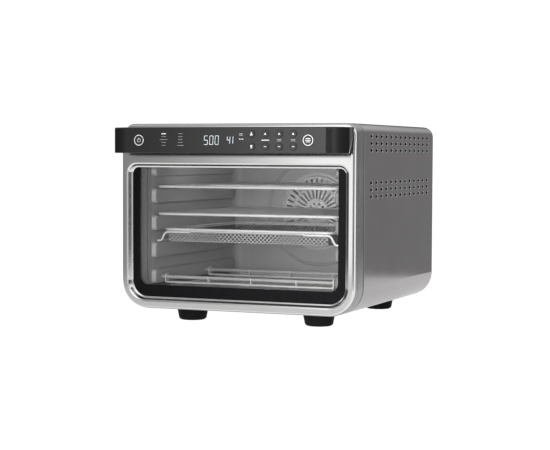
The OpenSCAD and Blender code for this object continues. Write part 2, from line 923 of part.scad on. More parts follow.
// Everything behind the handle's sloping back, moved forwards by the given distance
module behind_handle(forward = 0) {
    translate([0, back_y_low - forward, handle_z0]) rotate([-back_angle, 0, 0])
        box(-half_w - 1, half_w + 1, 0, 80, -60, 80);
}

module button_holes() {
    for (p = ring_buttons) button_bore(p, ring_button_r);
    for (p = small_buttons) button_bore(p, small_button_r);
}

module button_bore(p, r) {
    translate([p[0], 0, p[1]]) rod_along_y(-handle_front - 1, -handle_out + handle_wall + 1, r + button_gap);
}

module handle_shell() {
    color("#202022") in_place() difference() {
        translate([0, 0, handle_z0]) linear_extrude(handle_h) handle_plan(0);
        behind_handle();
        translate([0, 0, handle_z0 + handle_wall]) linear_extrude(handle_h - 2 * handle_wall)
            handle_plan(handle_wall);
        button_holes();
    }
}

module handle_rear_cover() {
    cover_t = 2;
    fit = handle_wall + 0.1;
    color("#29292b") in_place() {
        difference() {
            translate([0, 0, handle_z0 + fit]) linear_extrude(handle_h - 2 * fit) handle_plan(fit);
            behind_handle();
            difference() {
                box(-half_w, half_w, -80, 20, handle_z0 - 1, handle_z1 + 1);
                behind_handle(cover_t);
            }
        }
        for (s = [-1, 1]) across(s * post_x - post_w / 2, s * post_x + post_w / 2)
            polygon([[post_back(post_z0), post_z0], [post_face(post_z0), post_z0],
                [post_face(post_z1), post_z1], [post_back(post_z1), post_z1]]);
    }
}

// Depths of the handle's back and of the door's leaning face at height z
function post_back(z) = back_y_low + (z - handle_z0) * tan(back_angle) - eps;
function post_face(z) = (z - lean_z) * lean_d / (total_h - lean_z) - 0.02;

module control_board() {
    color("darkgreen") in_place() {
        box(-board_hw - 1, board_hw - 1, board_y, board_y + board_t, handle_z0 + board_margin,
            handle_z1 - board_margin);
        for (p = concat(ring_buttons, small_buttons))
            translate([p[0], 0, p[1]]) rod_along_y(board_y - 1, board_y, switch_r);
        box(-60, -20, board_y + 1.5, board_y + 7, handle_z0 + 8, handle_z0 + 18);
    }
}

module display_module() {
    color("#101014") in_place()
        box(display_x0, display_x1, -handle_out + handle_wall + 0.1, board_y,
            handle_mid_z - display_hh, handle_mid_z + display_hh);
}

module button(p, r) {
    tip = -handle_front;
    shoulder = -handle_out + handle_wall + 0.3;
    color("#3a3a3c") in_place() translate([p[0], 0, p[1]]) {
        rod_along_y(tip, shoulder + 0.8, r);
        rod_along_y(shoulder, shoulder + 1.2, r + flange_extra);
    }
}

module power_button() {
    button(ring_buttons[0], ring_button_r);
}

module start_button() {
    button(ring_buttons[1], ring_button_r);
}

module light_button() {
    button(small_buttons[0], small_button_r);
}

module function_button() {
    button(small_buttons[1], small_button_r);
}

module temperature_down_button() {
    button(small_buttons[2], small_button_r);
}

module temperature_up_button() {
    button(small_buttons[3], small_button_r);
}

module time_down_button() {
    button(small_buttons[4], small_button_r);
}

module time_up_button() {
    button(small_buttons[5], small_button_r);
}

module preset_down_button() {
    button(small_buttons[6], small_button_r);
}

module preset_up_button() {
    button(small_buttons[7], small_button_r);
}

// ---------------------------------------------------------------- inside parts

module rack(z) {
    color("silver") in_place() translate([0, 0, z]) {
        for (y = [rack_y0, rack_y1])
            translate([0, y, 0]) rod_along_x(-rack_hw, rack_hw, rack_wire_r, 8);
        for (s = [-1, 1])
            translate([s * (rack_hw - rack_wire_r), 0, 0]) rod_along_y(rack_y0, rack_y1, rack_wire_r, 8);
        for (i = [-(cross_wires - 1) / 2 : (cross_wires - 1) / 2])
            translate([i * cross_pitch, 0, 0.6]) rod_along_y(rack_y0, rack_y1, cross_wire_r, 8);
        for (t = [1 : 3])
            translate([0, rack_y0 + t * (rack_y1 - rack_y0) / 4, -0.8])
                rod_along_x(-rack_hw + 2, rack_hw - 2, cross_wire_r, 8);
    }
}

module upper_rack() {
    rack(upper_rack_z);
}

module lower_rack() {
    rack(lower_rack_z);
}

// A rim round the mesh and, at each side, a runner that rides on a ledge
module basket_frame() {
    rim_z = basket_z + basket_h - mesh_drop + rim_wire_r;
    hw = basket_hw + rim_wire_r;
    y0 = basket_y0 - rim_wire_r;
    y1 = basket_y1 + rim_wire_r;
    color("silver") in_place() {
        for (y = [y0, y1]) translate([0, y, rim_z]) rod_along_x(-hw, hw, rim_wire_r, 8);
        for (s = [-1, 1]) {
            translate([s * hw, 0, rim_z]) rod_along_y(y0, y1, rim_wire_r, 8);
            translate([s * runner_x, 0, basket_z]) rod_along_y(y0, y1, runner_r, 8);
            for (y = [y0 + 1, y1 - 1]) translate([0, y, 0])
                wire_xz(s * runner_x, basket_z, s * (hw - 0.5), rim_z, runner_r);
        }
    }
}

module basket_mesh() {
    z0 = basket_z - mesh_drop;
    color("lightgray") in_place() difference() {
        box(-basket_hw, basket_hw, basket_y0, basket_y1, z0, z0 + basket_h);
        box(-basket_hw + mesh_t, basket_hw - mesh_t, basket_y0 + mesh_t, basket_y1 - mesh_t,
            z0 + mesh_t, z0 + basket_h + 1);
    }
}

module crumb_tray() {
    z0 = cavity_z0 + tray_gap;
    t = tray_t;
    color("silver") in_place() difference() {
        box(-tray_hw, tray_hw, tray_y0, tray_y1, z0, z0 + tray_h);
        box(-tray_hw + t, tray_hw - t, tray_y0 + t, tray_y1 - t, z0 + t, z0 + tray_h + 1);
    }
}

module convection_fan() {
    color("silver") in_place() on_fan_axis(fan_y) difference() {
        union() {
            translate([0, 0, fan_depth - 1]) cylinder(h = blade_t, r = fan_r);
            cylinder(h = fan_depth, r = fan_hub_r);
            for (i = [0 : fan_blades - 1])
                rotate(i * 360 / fan_blades) translate([blade_root, -blade_t / 2, 0])
                    cube([fan_r - blade_root, blade_t, fan_depth - 0.5]);
        }
        translate([0, 0, -1]) cylinder(h = fan_depth + 8, r = shaft_r);
    }
}

module motor_shaft() {
    color("gray") in_place() on_fan_axis(shaft_y0) cylinder(h = shaft_y1 - shaft_y0, r = shaft_r);
}

module cooling_fan() {
    color("gray") in_place() on_fan_axis(cooling_y) difference() {
        union() {
            cylinder(h = cooling_depth, r = fan_hub_r);
            for (i = [0 : cooling_blades - 1])
                rotate(i * 360 / cooling_blades) translate([cooling_root, 0, cooling_depth / 2])
                    rotate([cooling_pitch, 0, 0]) translate([0, -cooling_blade_w / 2, -blade_t / 2])
                        cube([cooling_blade_len, cooling_blade_w, blade_t]);
        }
        translate([0, 0, -1]) cylinder(h = cooling_depth + 9, r = shaft_r);
    }
}

// ---------------------------------------------------------------- placing

outer_wrap();
base_pan();
rear_panel();
motor_cover();
front_bezel();
door_gasket();
cavity_left_wall();
cavity_right_wall();
cavity_top();
cavity_floor();
cavity_back_wall();
fan_grille();
fan_housing();
fan_motor();
lower_front_element();
lower_rear_element();
upper_front_element();
upper_rear_element();
element_supports();
terminal_insulators();
lamp_lens();
lamp_bulb();
temperature_sensor();
power_board();
wiring_harness();
hinge_brackets();
hinge_pins();
cord_gland();
foot_front_left();
foot_front_right();
foot_rear_left();
foot_rear_right();
body_screws();
door_frame();
door_outer_glass();
door_inner_frame();
door_inner_glass();
hinge_lugs();
handle_shell();
handle_rear_cover();
control_board();
display_module();
power_button();
start_button();
function_button();
light_button();
temperature_down_button();
temperature_up_button();
time_down_button();
time_up_button();
preset_down_button();
preset_up_button();
upper_rack();
lower_rack();
basket_frame();
basket_mesh();
crumb_tray();
convection_fan();
motor_shaft();
cooling_fan();
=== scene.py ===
"""Looks of a countertop toaster oven with a drop-down glass door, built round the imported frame.

Shapes are made in millimetres as (x, depth, z), where depth is measured back from the door's front face,
and placed in the row frame, in metres, by to_row().
"""

import math
from collections import namedtuple

import bmesh
import bpy
from mathutils import Matrix, Vector


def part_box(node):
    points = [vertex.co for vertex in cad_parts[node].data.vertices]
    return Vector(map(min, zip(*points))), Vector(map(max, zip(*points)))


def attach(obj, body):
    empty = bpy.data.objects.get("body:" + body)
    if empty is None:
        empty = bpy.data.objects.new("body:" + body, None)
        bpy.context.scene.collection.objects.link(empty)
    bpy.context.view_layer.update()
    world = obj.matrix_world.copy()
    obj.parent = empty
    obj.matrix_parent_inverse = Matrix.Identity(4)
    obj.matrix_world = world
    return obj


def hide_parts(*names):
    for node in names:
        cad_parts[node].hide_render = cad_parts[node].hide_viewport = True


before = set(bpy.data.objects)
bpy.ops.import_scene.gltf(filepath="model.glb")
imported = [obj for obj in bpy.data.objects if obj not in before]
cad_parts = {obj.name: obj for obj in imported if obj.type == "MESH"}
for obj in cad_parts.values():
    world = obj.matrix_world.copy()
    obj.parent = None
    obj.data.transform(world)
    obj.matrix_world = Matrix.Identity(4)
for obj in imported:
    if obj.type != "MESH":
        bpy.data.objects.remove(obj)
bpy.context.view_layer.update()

MM = 0.001
FRONT_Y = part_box("door_frame")[0].y
BODY = "oven_body"

Extent = namedtuple("Extent", "x0 x1 y0 y1 z0 z1")


def extent(node):
    """A CAD node's box in millimetres, with depths from the door's face."""
    low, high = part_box(node)
    return Extent(low.x / MM, high.x / MM, (low.y - FRONT_Y) / MM, (high.y - FRONT_Y) / MM,
                  low.z / MM, high.z / MM)


def to_row(point):
    x, depth, z = point
    return Vector((x * MM, FRONT_Y + depth * MM, z * MM))


def middle(box):
    """The middle of a box: (x, depth, z)."""
    return (box.x0 + box.x1) / 2, (box.y0 + box.y1) / 2, (box.z0 + box.z1) / 2


DOOR = extent("door_frame")
WRAP = extent("outer_wrap")
BEZEL = extent("front_bezel")
HALF_W = DOOR.x1
FOOT_H = DOOR.z0
TOP_Z = DOOR.z1
RIM_DEPTH = DOOR.y1
BOTTOM_R = 46
TOP_R = 19

# ---------------------------------------------------------------- flat outlines


def arc(cx, cz, radius, start, end, steps):
    """Points on an arc, with its angles in degrees."""
    angles = [math.radians(start + (end - start) * i / steps) for i in range(steps + 1)]
    return [(cx + radius * math.cos(a), cz + radius * math.sin(a)) for a in angles]


def panel(hw, z0, z1, low_r, high_r, steps=12):
    """A panel with one corner radius at the bottom and another at the top, anticlockwise."""
    return (arc(hw - low_r, z0 + low_r, low_r, -90, 0, steps)
            + arc(hw - high_r, z1 - high_r, high_r, 0, 90, steps)
            + arc(-hw + high_r, z1 - high_r, high_r, 90, 180, steps)
            + arc(-hw + low_r, z0 + low_r, low_r, 180, 270, steps))


def body_outline(inset=0, steps=12):
    """The outline that the body and the door share."""
    return panel(HALF_W - inset, FOOT_H + inset, TOP_Z - inset, BOTTOM_R - inset, TOP_R - inset, steps)


def box_panel(box, inset, low_r, high_r):
    """The front outline of a box, smaller by inset."""
    return panel(box.x1 - inset, box.z0 + inset, box.z1 - inset, low_r, high_r)


def at_depth(outline, depth):
    """An outline of (x, z) points set at a depth."""
    return [(x, depth, z) for x, z in outline]


def in_radians(degrees):
    return [math.radians(d) for d in degrees]


def rectangle(x0, x1, z0, z1):
    return [(x0, z0), (x1, z0), (x1, z1), (x0, z1)]


def circle(cx, cz, radius, steps=32):
    return arc(cx, cz, radius, 0, 360 * (steps - 1) / steps, steps - 1)


def pill(cx, cz, length, width, turn=0, steps=6):
    """A slot with round ends, turned about its middle by an angle in degrees."""
    reach = (length - width) / 2
    points = arc(reach, 0, width / 2, -90, 90, steps) + arc(-reach, 0, width / 2, 90, 270, steps)
    c = math.cos(math.radians(turn))
    s = math.sin(math.radians(turn))
    return [(cx + x * c - z * s, cz + x * s + z * c) for x, z in points]


def round_box(x0, x1, z0, z1, radius, steps=6):
    """A rectangle with round corners, anywhere."""
    cx = (x0 + x1) / 2
    return [(cx + x, z) for x, z in panel((x1 - x0) / 2, z0, z1, radius, radius, steps)]


def round_rings(cx, cz, steps, profile):
    """The rings of a round feature, from (radius, height) pairs."""
    return [(circle(cx, cz, radius, steps), height) for radius, height in profile]


def pill_rings(cx, cz, length, width, profile, turn=0, steps=6):
    """The rings of a slot, from (longer, wider, height) steps."""
    return [(pill(cx, cz, length + longer, width + wider, turn, steps), height)
            for longer, wider, height in profile]


# ---------------------------------------------------------------- mesh building


class Builder:
    """Collects the faces of one piece, in millimetres."""

    def __init__(self):
        self.bm = bmesh.new()

    def row(self, points):
        return [self.bm.verts.new(p) for p in points]

    def strip(self, a, b, closed=False):
        """Quads between two rows of as many points."""
        count = len(a)
        for i in range(count if closed else count - 1):
            j = (i + 1) % count
            self.bm.faces.new((a[i], a[j], b[j], b[i]))

    def loft(self, rows, closed=True, around=False, caps=False):
        """Joins rows of points in turn: closed rows are rings, around joins the last row to the first."""
        made = [self.row(points) for points in rows]
        for a, b in zip(made, made[1:]):
            self.strip(a, b, closed)
        if around:
            self.strip(made[-1], made[0], closed)
        if caps:
            self.bm.faces.new(made[0])
            self.bm.faces.new(list(reversed(made[-1])))
        return made

    def sweep(self, outline, profile, **how):
        """Lofts an outline, which is a function of its inset, through (inset, depth) pairs."""
        return self.sweep_all([(outline, profile)], **how)

    def sweep_all(self, parts, **how):
        """Lofts several outlines in turn, each through its own (inset, depth) pairs."""
        return self.loft([at_depth(outline(inset), depth)
                          for outline, profile in parts for inset, depth in profile], **how)

    def fill(self, loops):
        """Fills the flat area inside the first loop and outside the others."""
        edges = []
        for loop in loops:
            for i, vert in enumerate(loop):
                after = loop[(i + 1) % len(loop)]
                edges.append(self.bm.edges.get((vert, after)) or self.bm.edges.new((vert, after)))
        bmesh.ops.triangle_fill(self.bm, use_beauty=True, use_dissolve=False, edges=edges)

    def pressed(self, border, features, place):
        """A sheet with pressed features. A feature is (rings, closed), and a ring is (outline, height):
        the first lies in the sheet, and a closed feature is filled inside its last ring."""
        part = Builder()
        loops = [part.row([(u, v, 0) for u, v in border])]
        for rings, closed in features:
            made = [part.row([(u, v, height) for u, v in outline]) for outline, height in rings]
            loops.append(made[0])
            for a, b in zip(made, made[1:]):
                part.strip(a, b, closed=True)
            if closed:
                part.bm.faces.new(made[-1])
        part.fill(loops)
        self.take(part, place)

    def plate(self, border, holes, y0, y1):
        """A solid plate in X and Z with holes, from depth y0 to depth y1."""
        front = Builder()
        front.fill([front.row([(u, v, 0) for u, v in loop]) for loop in [border] + holes])
        for depth in (y0, y1):
            copy = Builder()
            copy.take(front, lambda u, v, h, depth=depth: (u, depth, v), keep=True)
            self.take(copy, lambda x, y, z: (x, y, z))
        for loop in [border] + holes:
            self.loft([at_depth(loop, y0), at_depth(loop, y1)])

    def plate_x(self, x0, x1, border, holes):
        """A solid plate in depth and Z, from x0 to x1."""
        flat = Builder()
        flat.plate(border, holes, x0, x1)
        self.take(flat, lambda u, x, v: (x, u, v))

    def take(self, part, place, keep=False):
        """Adds another builder's faces, with each point moved by place."""
        copies = {v: self.bm.verts.new(place(*v.co)) for v in part.bm.verts}
        for f in part.bm.faces:
            self.bm.faces.new([copies[v] for v in f.verts])
        if not keep:
            part.bm.free()

    def lathe(self, profile, axis="z", centre=(0, 0, 0), steps=48):
        """Turns a profile of (radius, height) about an axis through centre. A radius of 0 closes an end."""
        rings = []
        for radius, height in profile:
            turn = circle(0, 0, radius, steps) if radius > 0 else [(0, 0)]
            rings.append(self.row([place_on_axis(u, v, height, axis, centre) for u, v in turn]))
        for a, b in zip(rings, rings[1:]):
            if len(a) == 1 or len(b) == 1:
                tip, ring = (a[0], b) if len(a) == 1 else (b[0], a)
                for i, vert in enumerate(ring):
                    self.bm.faces.new((tip, vert, ring[(i + 1) % len(ring)]))
            else:
                self.strip(a, b, closed=True)

    def block(self, x0, x1, y0, y1, z0, z1):
        self.loft([at_depth(rectangle(x0, x1, z0, z1), y) for y in (y0, y1)], caps=True)

    def tube(self, path, radius, sides=8, closed=False):
        """A round wire along a path."""
        points = [Vector(p) for p in path]
        count = len(points)
        rows = []
        normal = None
        for i, point in enumerate(points):
            if closed:
                along = points[(i + 1) % count] - points[i - 1]
            else:
                along = points[min(i + 1, count - 1)] - points[max(i - 1, 0)]
            along.normalize()
            if normal is None:
                normal = along.orthogonal().normalized()
            normal = (normal - along * normal.dot(along)).normalized()
            other = along.cross(normal)
            rows.append([point + normal * radius * math.cos(2 * math.pi * k / sides)
                         + other * radius * math.sin(2 * math.pi * k / sides) for k in range(sides)])
        self.loft(rows, around=closed, caps=not closed)


def place_on_axis(u, v, height, axis, centre):
    """A point (u, v) at a height along an axis: z up, y back or x right."""
    offset = {"z": (u, v, height), "y": (u, height, v), "x": (height, u, v)}[axis]
    return tuple(c + o for c, o in zip(centre, offset))


def facing_right_way(bm, facing):
    """Flips the sheet if its outermost faces point away from facing."""
    toward = Vector(facing)
    flat = [f for f in bm.faces if abs(f.normal.dot(toward)) > 0.9]
    outermost = max(flat, key=lambda f: f.calc_center_median().dot(toward))
    if outermost.normal.dot(toward) < 0:
        bmesh.ops.reverse_faces(bm, faces=bm.faces)


MERGE_MM = 0.002


def new_object(name, data):
    """An object that is linked to the scene."""
    obj = bpy.data.objects.new(name, data)
    bpy.context.scene.collection.objects.link(obj)
    return obj


def piece(name, built, material, body, stands_for=(), bevel=0, segments=2,
          thickness=0, facing=None, sharp=35, second=None):
    """Makes the object: a closed solid, or a sheet that a thickness is given to, away from facing.
    second is another material and the test for the faces that have it."""
    bm = built.bm
    bmesh.ops.remove_doubles(bm, verts=bm.verts, dist=MERGE_MM)
    bmesh.ops.recalc_face_normals(bm, faces=bm.faces)
    if facing:
        facing_right_way(bm, facing)
    for face in bm.faces:
        if second and second[1](face):
            face.material_index = 1
    mesh = bpy.data.meshes.new(name)
    bm.to_mesh(mesh)
    bm.free()
    mesh.transform(Matrix.Translation((0, FRONT_Y, 0)) @ Matrix.Scale(MM, 4))
    mesh.shade_smooth()
    if not bevel:
        mesh.set_sharp_from_angle(angle=math.radians(sharp))
    mesh.materials.append(material)
    if second:
        mesh.materials.append(second[0])
    obj = new_object(name, mesh)
    if thickness:
        solid = obj.modifiers.new("thickness", "SOLIDIFY")
        solid.thickness = thickness * MM
        solid.offset = -1
        solid.use_even_offset = True
    if bevel:
        rounded = obj.modifiers.new("round_edges", "BEVEL")
        rounded.width = bevel * MM
        rounded.segments = segments
        rounded.limit_method = "ANGLE"
        rounded.angle_limit = math.radians(40)
    weighted = obj.modifiers.new("flat_faces", "WEIGHTED_NORMAL")
    weighted.keep_sharp = True
    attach(obj, body)
    if stands_for:
        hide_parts(*stands_for)
    return obj


def rounded_path(points, radius, steps=5, closed=False):
    """A path whose corners are rounded."""
    corners = [Vector(p) for p in points]
    count = len(corners)
    made = []
    for i, corner in enumerate(corners):
        if not closed and i in (0, count - 1):
            made.append(corner)
            continue
        before = corners[i - 1] - corner
        after = corners[(i + 1) % count] - corner
        reach = min(radius, before.length * 0.49, after.length * 0.49)
        start = corner + before.normalized() * reach
        end = corner + after.normalized() * reach
        for k in range(steps + 1):
            t = k / steps
            made.append(start * (1 - t) ** 2 + corner * 2 * t * (1 - t) + end * t * t)
    return made


def fillet(outer, inner, steps=3):
    """(inset, depth) pairs round a quarter turn from outer to inner, both (inset, depth)."""
    pairs = []
    for i in range(steps + 1):
        a = math.pi / 2 * i / steps
        pairs.append((outer[0] + (inner[0] - outer[0]) * (1 - math.cos(a)),
                      outer[1] + (inner[1] - outer[1]) * math.sin(a)))
    return pairs


# ---------------------------------------------------------------- materials


def feed(tree, node, inputs):
    """Gives a node each input as a value or as a link."""
    for key, value in inputs.items():
        if isinstance(value, bpy.types.NodeSocket):
            tree.links.new(value, node.inputs[key])
        else:
            node.inputs[key].default_value = value


def add(tree, kind, inputs=None, **settings):
    """Adds a node with its settings and inputs."""
    node = tree.nodes.new(kind)
    for key, value in settings.items():
        setattr(node, key, value)
    feed(tree, node, inputs or {})
    return node


def ramp(tree, factor, stops):
    """A colour ramp from (position, colour or grey) stops."""
    node = add(tree, "ShaderNodeValToRGB", {"Fac": factor})
    elements = node.color_ramp.elements
    while len(elements) < len(stops):
        elements.new(0.5)
    for element, (position, colour) in zip(elements, stops):
        grey = not hasattr(colour, "__len__")
        element.position = position
        element.color = (colour, colour, colour, 1) if grey else (*colour, 1)
    return node.outputs["Color"]


def remap(tree, value, low, high, start=0.3, end=0.7):
    node = add(tree, "ShaderNodeMapRange",
               {"Value": value, "From Min": start, "From Max": end, "To Min": low, "To Max": high})
    return node.outputs["Result"]


def shaded(colour, factor):
    return tuple(min(1, c * factor) for c in colour)


def new_material(name):
    """A material with its node tree, its shader and the place of a point in the row frame."""
    material = bpy.data.materials.new(name)
    material.use_nodes = True
    tree = material.node_tree
    place = add(tree, "ShaderNodeTexCoord").outputs["Object"]
    return material, tree, tree.nodes["Principled BSDF"], place


def show_instead(tree, shader):
    """Shows a shader in place of the Principled one."""
    tree.nodes.remove(tree.nodes["Principled BSDF"])
    tree.links.new(shader.outputs[0], tree.nodes["Material Output"].inputs["Surface"])


def surface(name, colour, roughness, metallic=0, grain=(900, 900, 900), depth=0.01, tone=0.06,
            gloss=0.05, patch=12, fixed=None):
    """A finish with fine grain in its bump and gloss, and faint broad changes of tone.
    grain is how many wrinkles a metre holds along X, Y and Z, and depth their height in millimetres."""
    material, tree, shader, place = new_material(name)
    stretched = add(tree, "ShaderNodeMapping", {"Vector": place, "Scale": grain}).outputs["Vector"]
    fine = add(tree, "ShaderNodeTexNoise", {"Vector": stretched, "Scale": 1, "Detail": 3}).outputs["Fac"]
    broad = add(tree, "ShaderNodeTexNoise", {"Vector": place, "Scale": patch, "Detail": 2}).outputs["Fac"]
    both = add(tree, "ShaderNodeMath", {0: fine, 1: broad}, operation="ADD").outputs[0]
    mixed = remap(tree, both, 0, 1, 0.7, 1.3)
    tones = ramp(tree, mixed, [(0, shaded(colour, 1 - tone)), (1, shaded(colour, 1 + tone))])
    blur = remap(tree, mixed, roughness - gloss, roughness + gloss, 0, 1)
    bump = add(tree, "ShaderNodeBump", {"Height": fine, "Strength": 1, "Distance": depth * MM})
    feed(tree, shader, {"Base Color": tones, "Roughness": blur, "Normal": bump.outputs["Normal"],
                        "Metallic": metallic, **(fixed or {})})
    return material


def clear_glass(name, tint, smudge):
    """Glass that light passes straight through, with its gloss from Fresnel and faint smudges."""
    material, tree, _, place = new_material(name)
    noise = add(tree, "ShaderNodeTexNoise", {"Vector": place, "Scale": 9, "Detail": 5}).outputs["Fac"]
    gloss = add(tree, "ShaderNodeBsdfGlossy",
                {"Color": (1, 1, 1, 1), "Roughness": remap(tree, noise, 0.01, smudge)})
    through = add(tree, "ShaderNodeBsdfTransparent",
                  {"Color": ramp(tree, noise, [(0.3, shaded(tint, 0.985)), (0.7, tint)])})
    edge = add(tree, "ShaderNodeFresnel", {"IOR": 1.12})
    mix = add(tree, "ShaderNodeMixShader",
              {0: edge.outputs[0], 1: through.outputs[0], 2: gloss.outputs[0]})
    show_instead(tree, mix)
    return material


def glowing(name, colour, strength):
    """A lit mark, a little uneven as light from behind a panel is; the dim grey one also serves as a painted
    highlight round the small buttons' edges.
    """
    material, tree, shader, place = new_material(name)
    noise = add(tree, "ShaderNodeTexNoise", {"Vector": place, "Scale": 300}).outputs["Fac"]
    lit = ramp(tree, noise, [(0.3, shaded(colour, 0.85)), (0.7, colour)])
    unlit = ramp(tree, noise, [(0.3, shaded(colour, 0.3)), (0.7, shaded(colour, 0.4))])
    feed(tree, shader, {"Emission Color": lit, "Base Color": unlit, "Emission Strength": strength})
    return material


def board_green(name):
    """A circuit board's lacquer over straight copper tracks."""
    material, tree, shader, place = new_material(name)
    turned = add(tree, "ShaderNodeMapping", {"Vector": place, "Rotation": (0.6, 0.3, 0.8)}).outputs[0]
    tracks = add(tree, "ShaderNodeTexBrick", {"Vector": turned, "Scale": 120, "Mortar Size": 0.06,
                                              "Color1": (0.01, 0.09, 0.035, 1),
                                              "Color2": (0.012, 0.11, 0.045, 1),
                                              "Mortar": (0.03, 0.22, 0.08, 1)})
    bump = add(tree, "ShaderNodeBump", {"Height": tracks.outputs["Fac"], "Distance": 0.03 * MM})
    feed(tree, shader, {"Base Color": tracks.outputs["Color"], "Normal": bump.outputs["Normal"],
                        "Roughness": 0.3})
    return material


ALONG_X = (8, 1800, 1800)
ALONG_Z = (1800, 1800, 8)
FINE = (1500, 1500, 1500)
SMOOTH = (60, 60, 60)
DULL = {"Specular IOR Level": 0.05}

door_steel = surface("door_steel", (0.63, 0.63, 0.625), 0.16, 1, ALONG_X, 0.0015, 0.03, 0.03)
polished_steel = surface("polished_steel", (0.86, 0.86, 0.855), 0.15, 1, SMOOTH, 0.0004, 0.02, 0.02)
trim_steel = surface("trim_steel", (0.19, 0.19, 0.19), 0.4, 0.3, FINE, 0.003, 0.05)
# A darker, duller copy of wire_chrome: painted shade on the rack wires inside the bright frame.
wire_painted_shade = surface("wire_painted_shade", (0.6, 0.6, 0.6), 0.35, 0.5, (700, 700, 700), 0.003, 0.05)
# A dark copy of the wire: painted shade on the basket's weave behind its front wall.
mesh_painted_shade = surface("mesh_painted_shade", (0.15, 0.15, 0.15), 0.4, 0.5, (700, 700, 700), 0.003, 0.05)
floor_steel = surface("floor_steel", (0.46, 0.46, 0.46), 0.36, 0.3, (500, 500, 500), 0.006, 0.06, 0.06)
rim_steel = surface("rim_steel", (0.4, 0.4, 0.4), 0.25, 1, ALONG_X, 0.001, 0.03, 0.03)
wrap_steel = surface("wrap_steel", (0.39, 0.372, 0.377), 0.12, 1, ALONG_Z, 0.001, 0.04, 0.03)
plain_steel = surface("plain_steel", (0.5, 0.5, 0.5), 0.4, 1, (300, 300, 300), 0.006, 0.12, 0.08)
cavity_steel = surface("cavity_steel", (0.42, 0.42, 0.42), 0.45, 0.3, (500, 500, 500), 0.008, 0.06, 0.07)
guard_steel = surface("guard_steel", (0.6, 0.6, 0.6), 0.36, 0.3, (500, 500, 500), 0.006, 0.06, 0.06)
bezel_metal = surface("bezel_metal", (0.33, 0.325, 0.325), 0.25, 1, ALONG_X, 0.001, 0.05)
wire_chrome = surface("wire_chrome", (0.72, 0.72, 0.72), 0.25, 0.45, (700, 700, 700), 0.003, 0.03)
heater_sheath = surface("heater_sheath", (0.46, 0.46, 0.45), 0.35, 0.4, (600, 2000, 2000), 0.01, 0.12)
rear_coating = surface("rear_coating", (0.055, 0.054, 0.055), 0.45, 0.2, (2600, 2600, 2600), 0.03, 0.1)
black_gloss = surface("black_gloss", (0.064, 0.064, 0.065), 0.13, 0.9, ALONG_X, 0.0006, 0.05, 0.02)
frit_black = surface("frit_black", (0.0045, 0.0045, 0.005), 0.3, 0, SMOOTH, 0.001, 0.1, 0.04, fixed=DULL)
button_black = surface("button_black", (0.03, 0.03, 0.031), 0.2, 0.4, FINE, 0.002, 0.1)
black_plastic = surface("black_plastic", (0.022, 0.022, 0.024), 0.48, 0, (3200, 3200, 3200), 0.03, 0.1)
foot_rubber = surface("foot_rubber", (0.006, 0.006, 0.0065), 0.5, 0, (2400, 2400, 2400), 0.03, 0.12,
                      fixed=DULL)
gasket_rubber = surface("gasket_rubber", (0.13, 0.13, 0.13), 0.6, 0, (4000, 900, 4000), 0.05, 0.15)
ceramic = surface("ceramic", (0.78, 0.76, 0.7), 0.5, 0, FINE, 0.02, 0.05)
lamp_white = surface("lamp_white", (0.85, 0.84, 0.8), 0.25, 0, (200, 200, 200), 0.02, 0.03)
wire_red = surface("wire_red", (0.35, 0.03, 0.025), 0.5, 0, (2000, 300, 2000), 0.03, 0.1)
pan_steel = surface("pan_steel", (0.28, 0.28, 0.28), 0.36, 0.5, (500, 500, 500), 0.006, 0.06, 0.06)
fan_steel = surface("fan_steel", (0.5, 0.5, 0.5), 0.35, 1, (400, 400, 400), 0.005, 0.08)
circuit_green = board_green("circuit_green")
pane_glass = clear_glass("pane_glass", (0.97, 0.97, 0.97), 0.05)
digit_light = glowing("digit_light", (0.82, 0.9, 0.95), 0.52)
mark_white = glowing("mark_white", (0.93, 0.94, 0.95), 0.5)
# Dim marks, and the painted highlight round the small buttons' edges.
grey_mark_and_painted_highlight = glowing("grey_mark_and_painted_highlight", (0.5, 0.51, 0.52), 0.1)

# ---------------------------------------------------------------- door

LEAN_Z = 294
LEAN_DEPTH = 9
STILE_W = 12.5
WINDOW_Z = (39, 271)
WINDOW_R = (34, 16)
BEVEL_W = 6
PANE_EDGE = 0.4
BORDER_HW = 180.5
BORDER_Z = (65.3, 270)
PAN_HW = 178
PAN_Z = (62, 277)
RECESS = extent("door_outer_glass").y0
NOTCH_Z = extent("hinge_pins").z0 + 2.5
NOTCH_DEPTH = 10
RIM_Y = 8
RIM_STEP = 0.9
EDGE_R = 2.6
SIDE_SLOPE = 0.17


def window_outline(inset):
    """The window opening, smaller by inset. Its corners keep their centres."""
    return panel(HALF_W - STILE_W - inset, WINDOW_Z[0] + inset, WINDOW_Z[1] - inset,
                 WINDOW_R[0] - inset, WINDOW_R[1] - inset)


def lean_back(bm, from_z, by, depth):
    """Tilts the front back above from_z: by so much at the top, and less towards depth."""
    bmesh.ops.bisect_plane(bm, geom=bm.verts[:] + bm.edges[:] + bm.faces[:],
                           plane_co=(0, 0, from_z), plane_no=(0, 0, 1))
    for v in bm.verts:
        if v.co.z > from_z and v.co.y < depth:
            lean = (v.co.z - from_z) / (TOP_Z - from_z) * by
            v.co.y += lean * (depth - v.co.y) / depth


def is_polished(face):
    """The rounded edge of the door's face, and the bevel round its window."""
    return abs(face.normal.y) < 0.985 and face.calc_center_median().y < RIM_Y


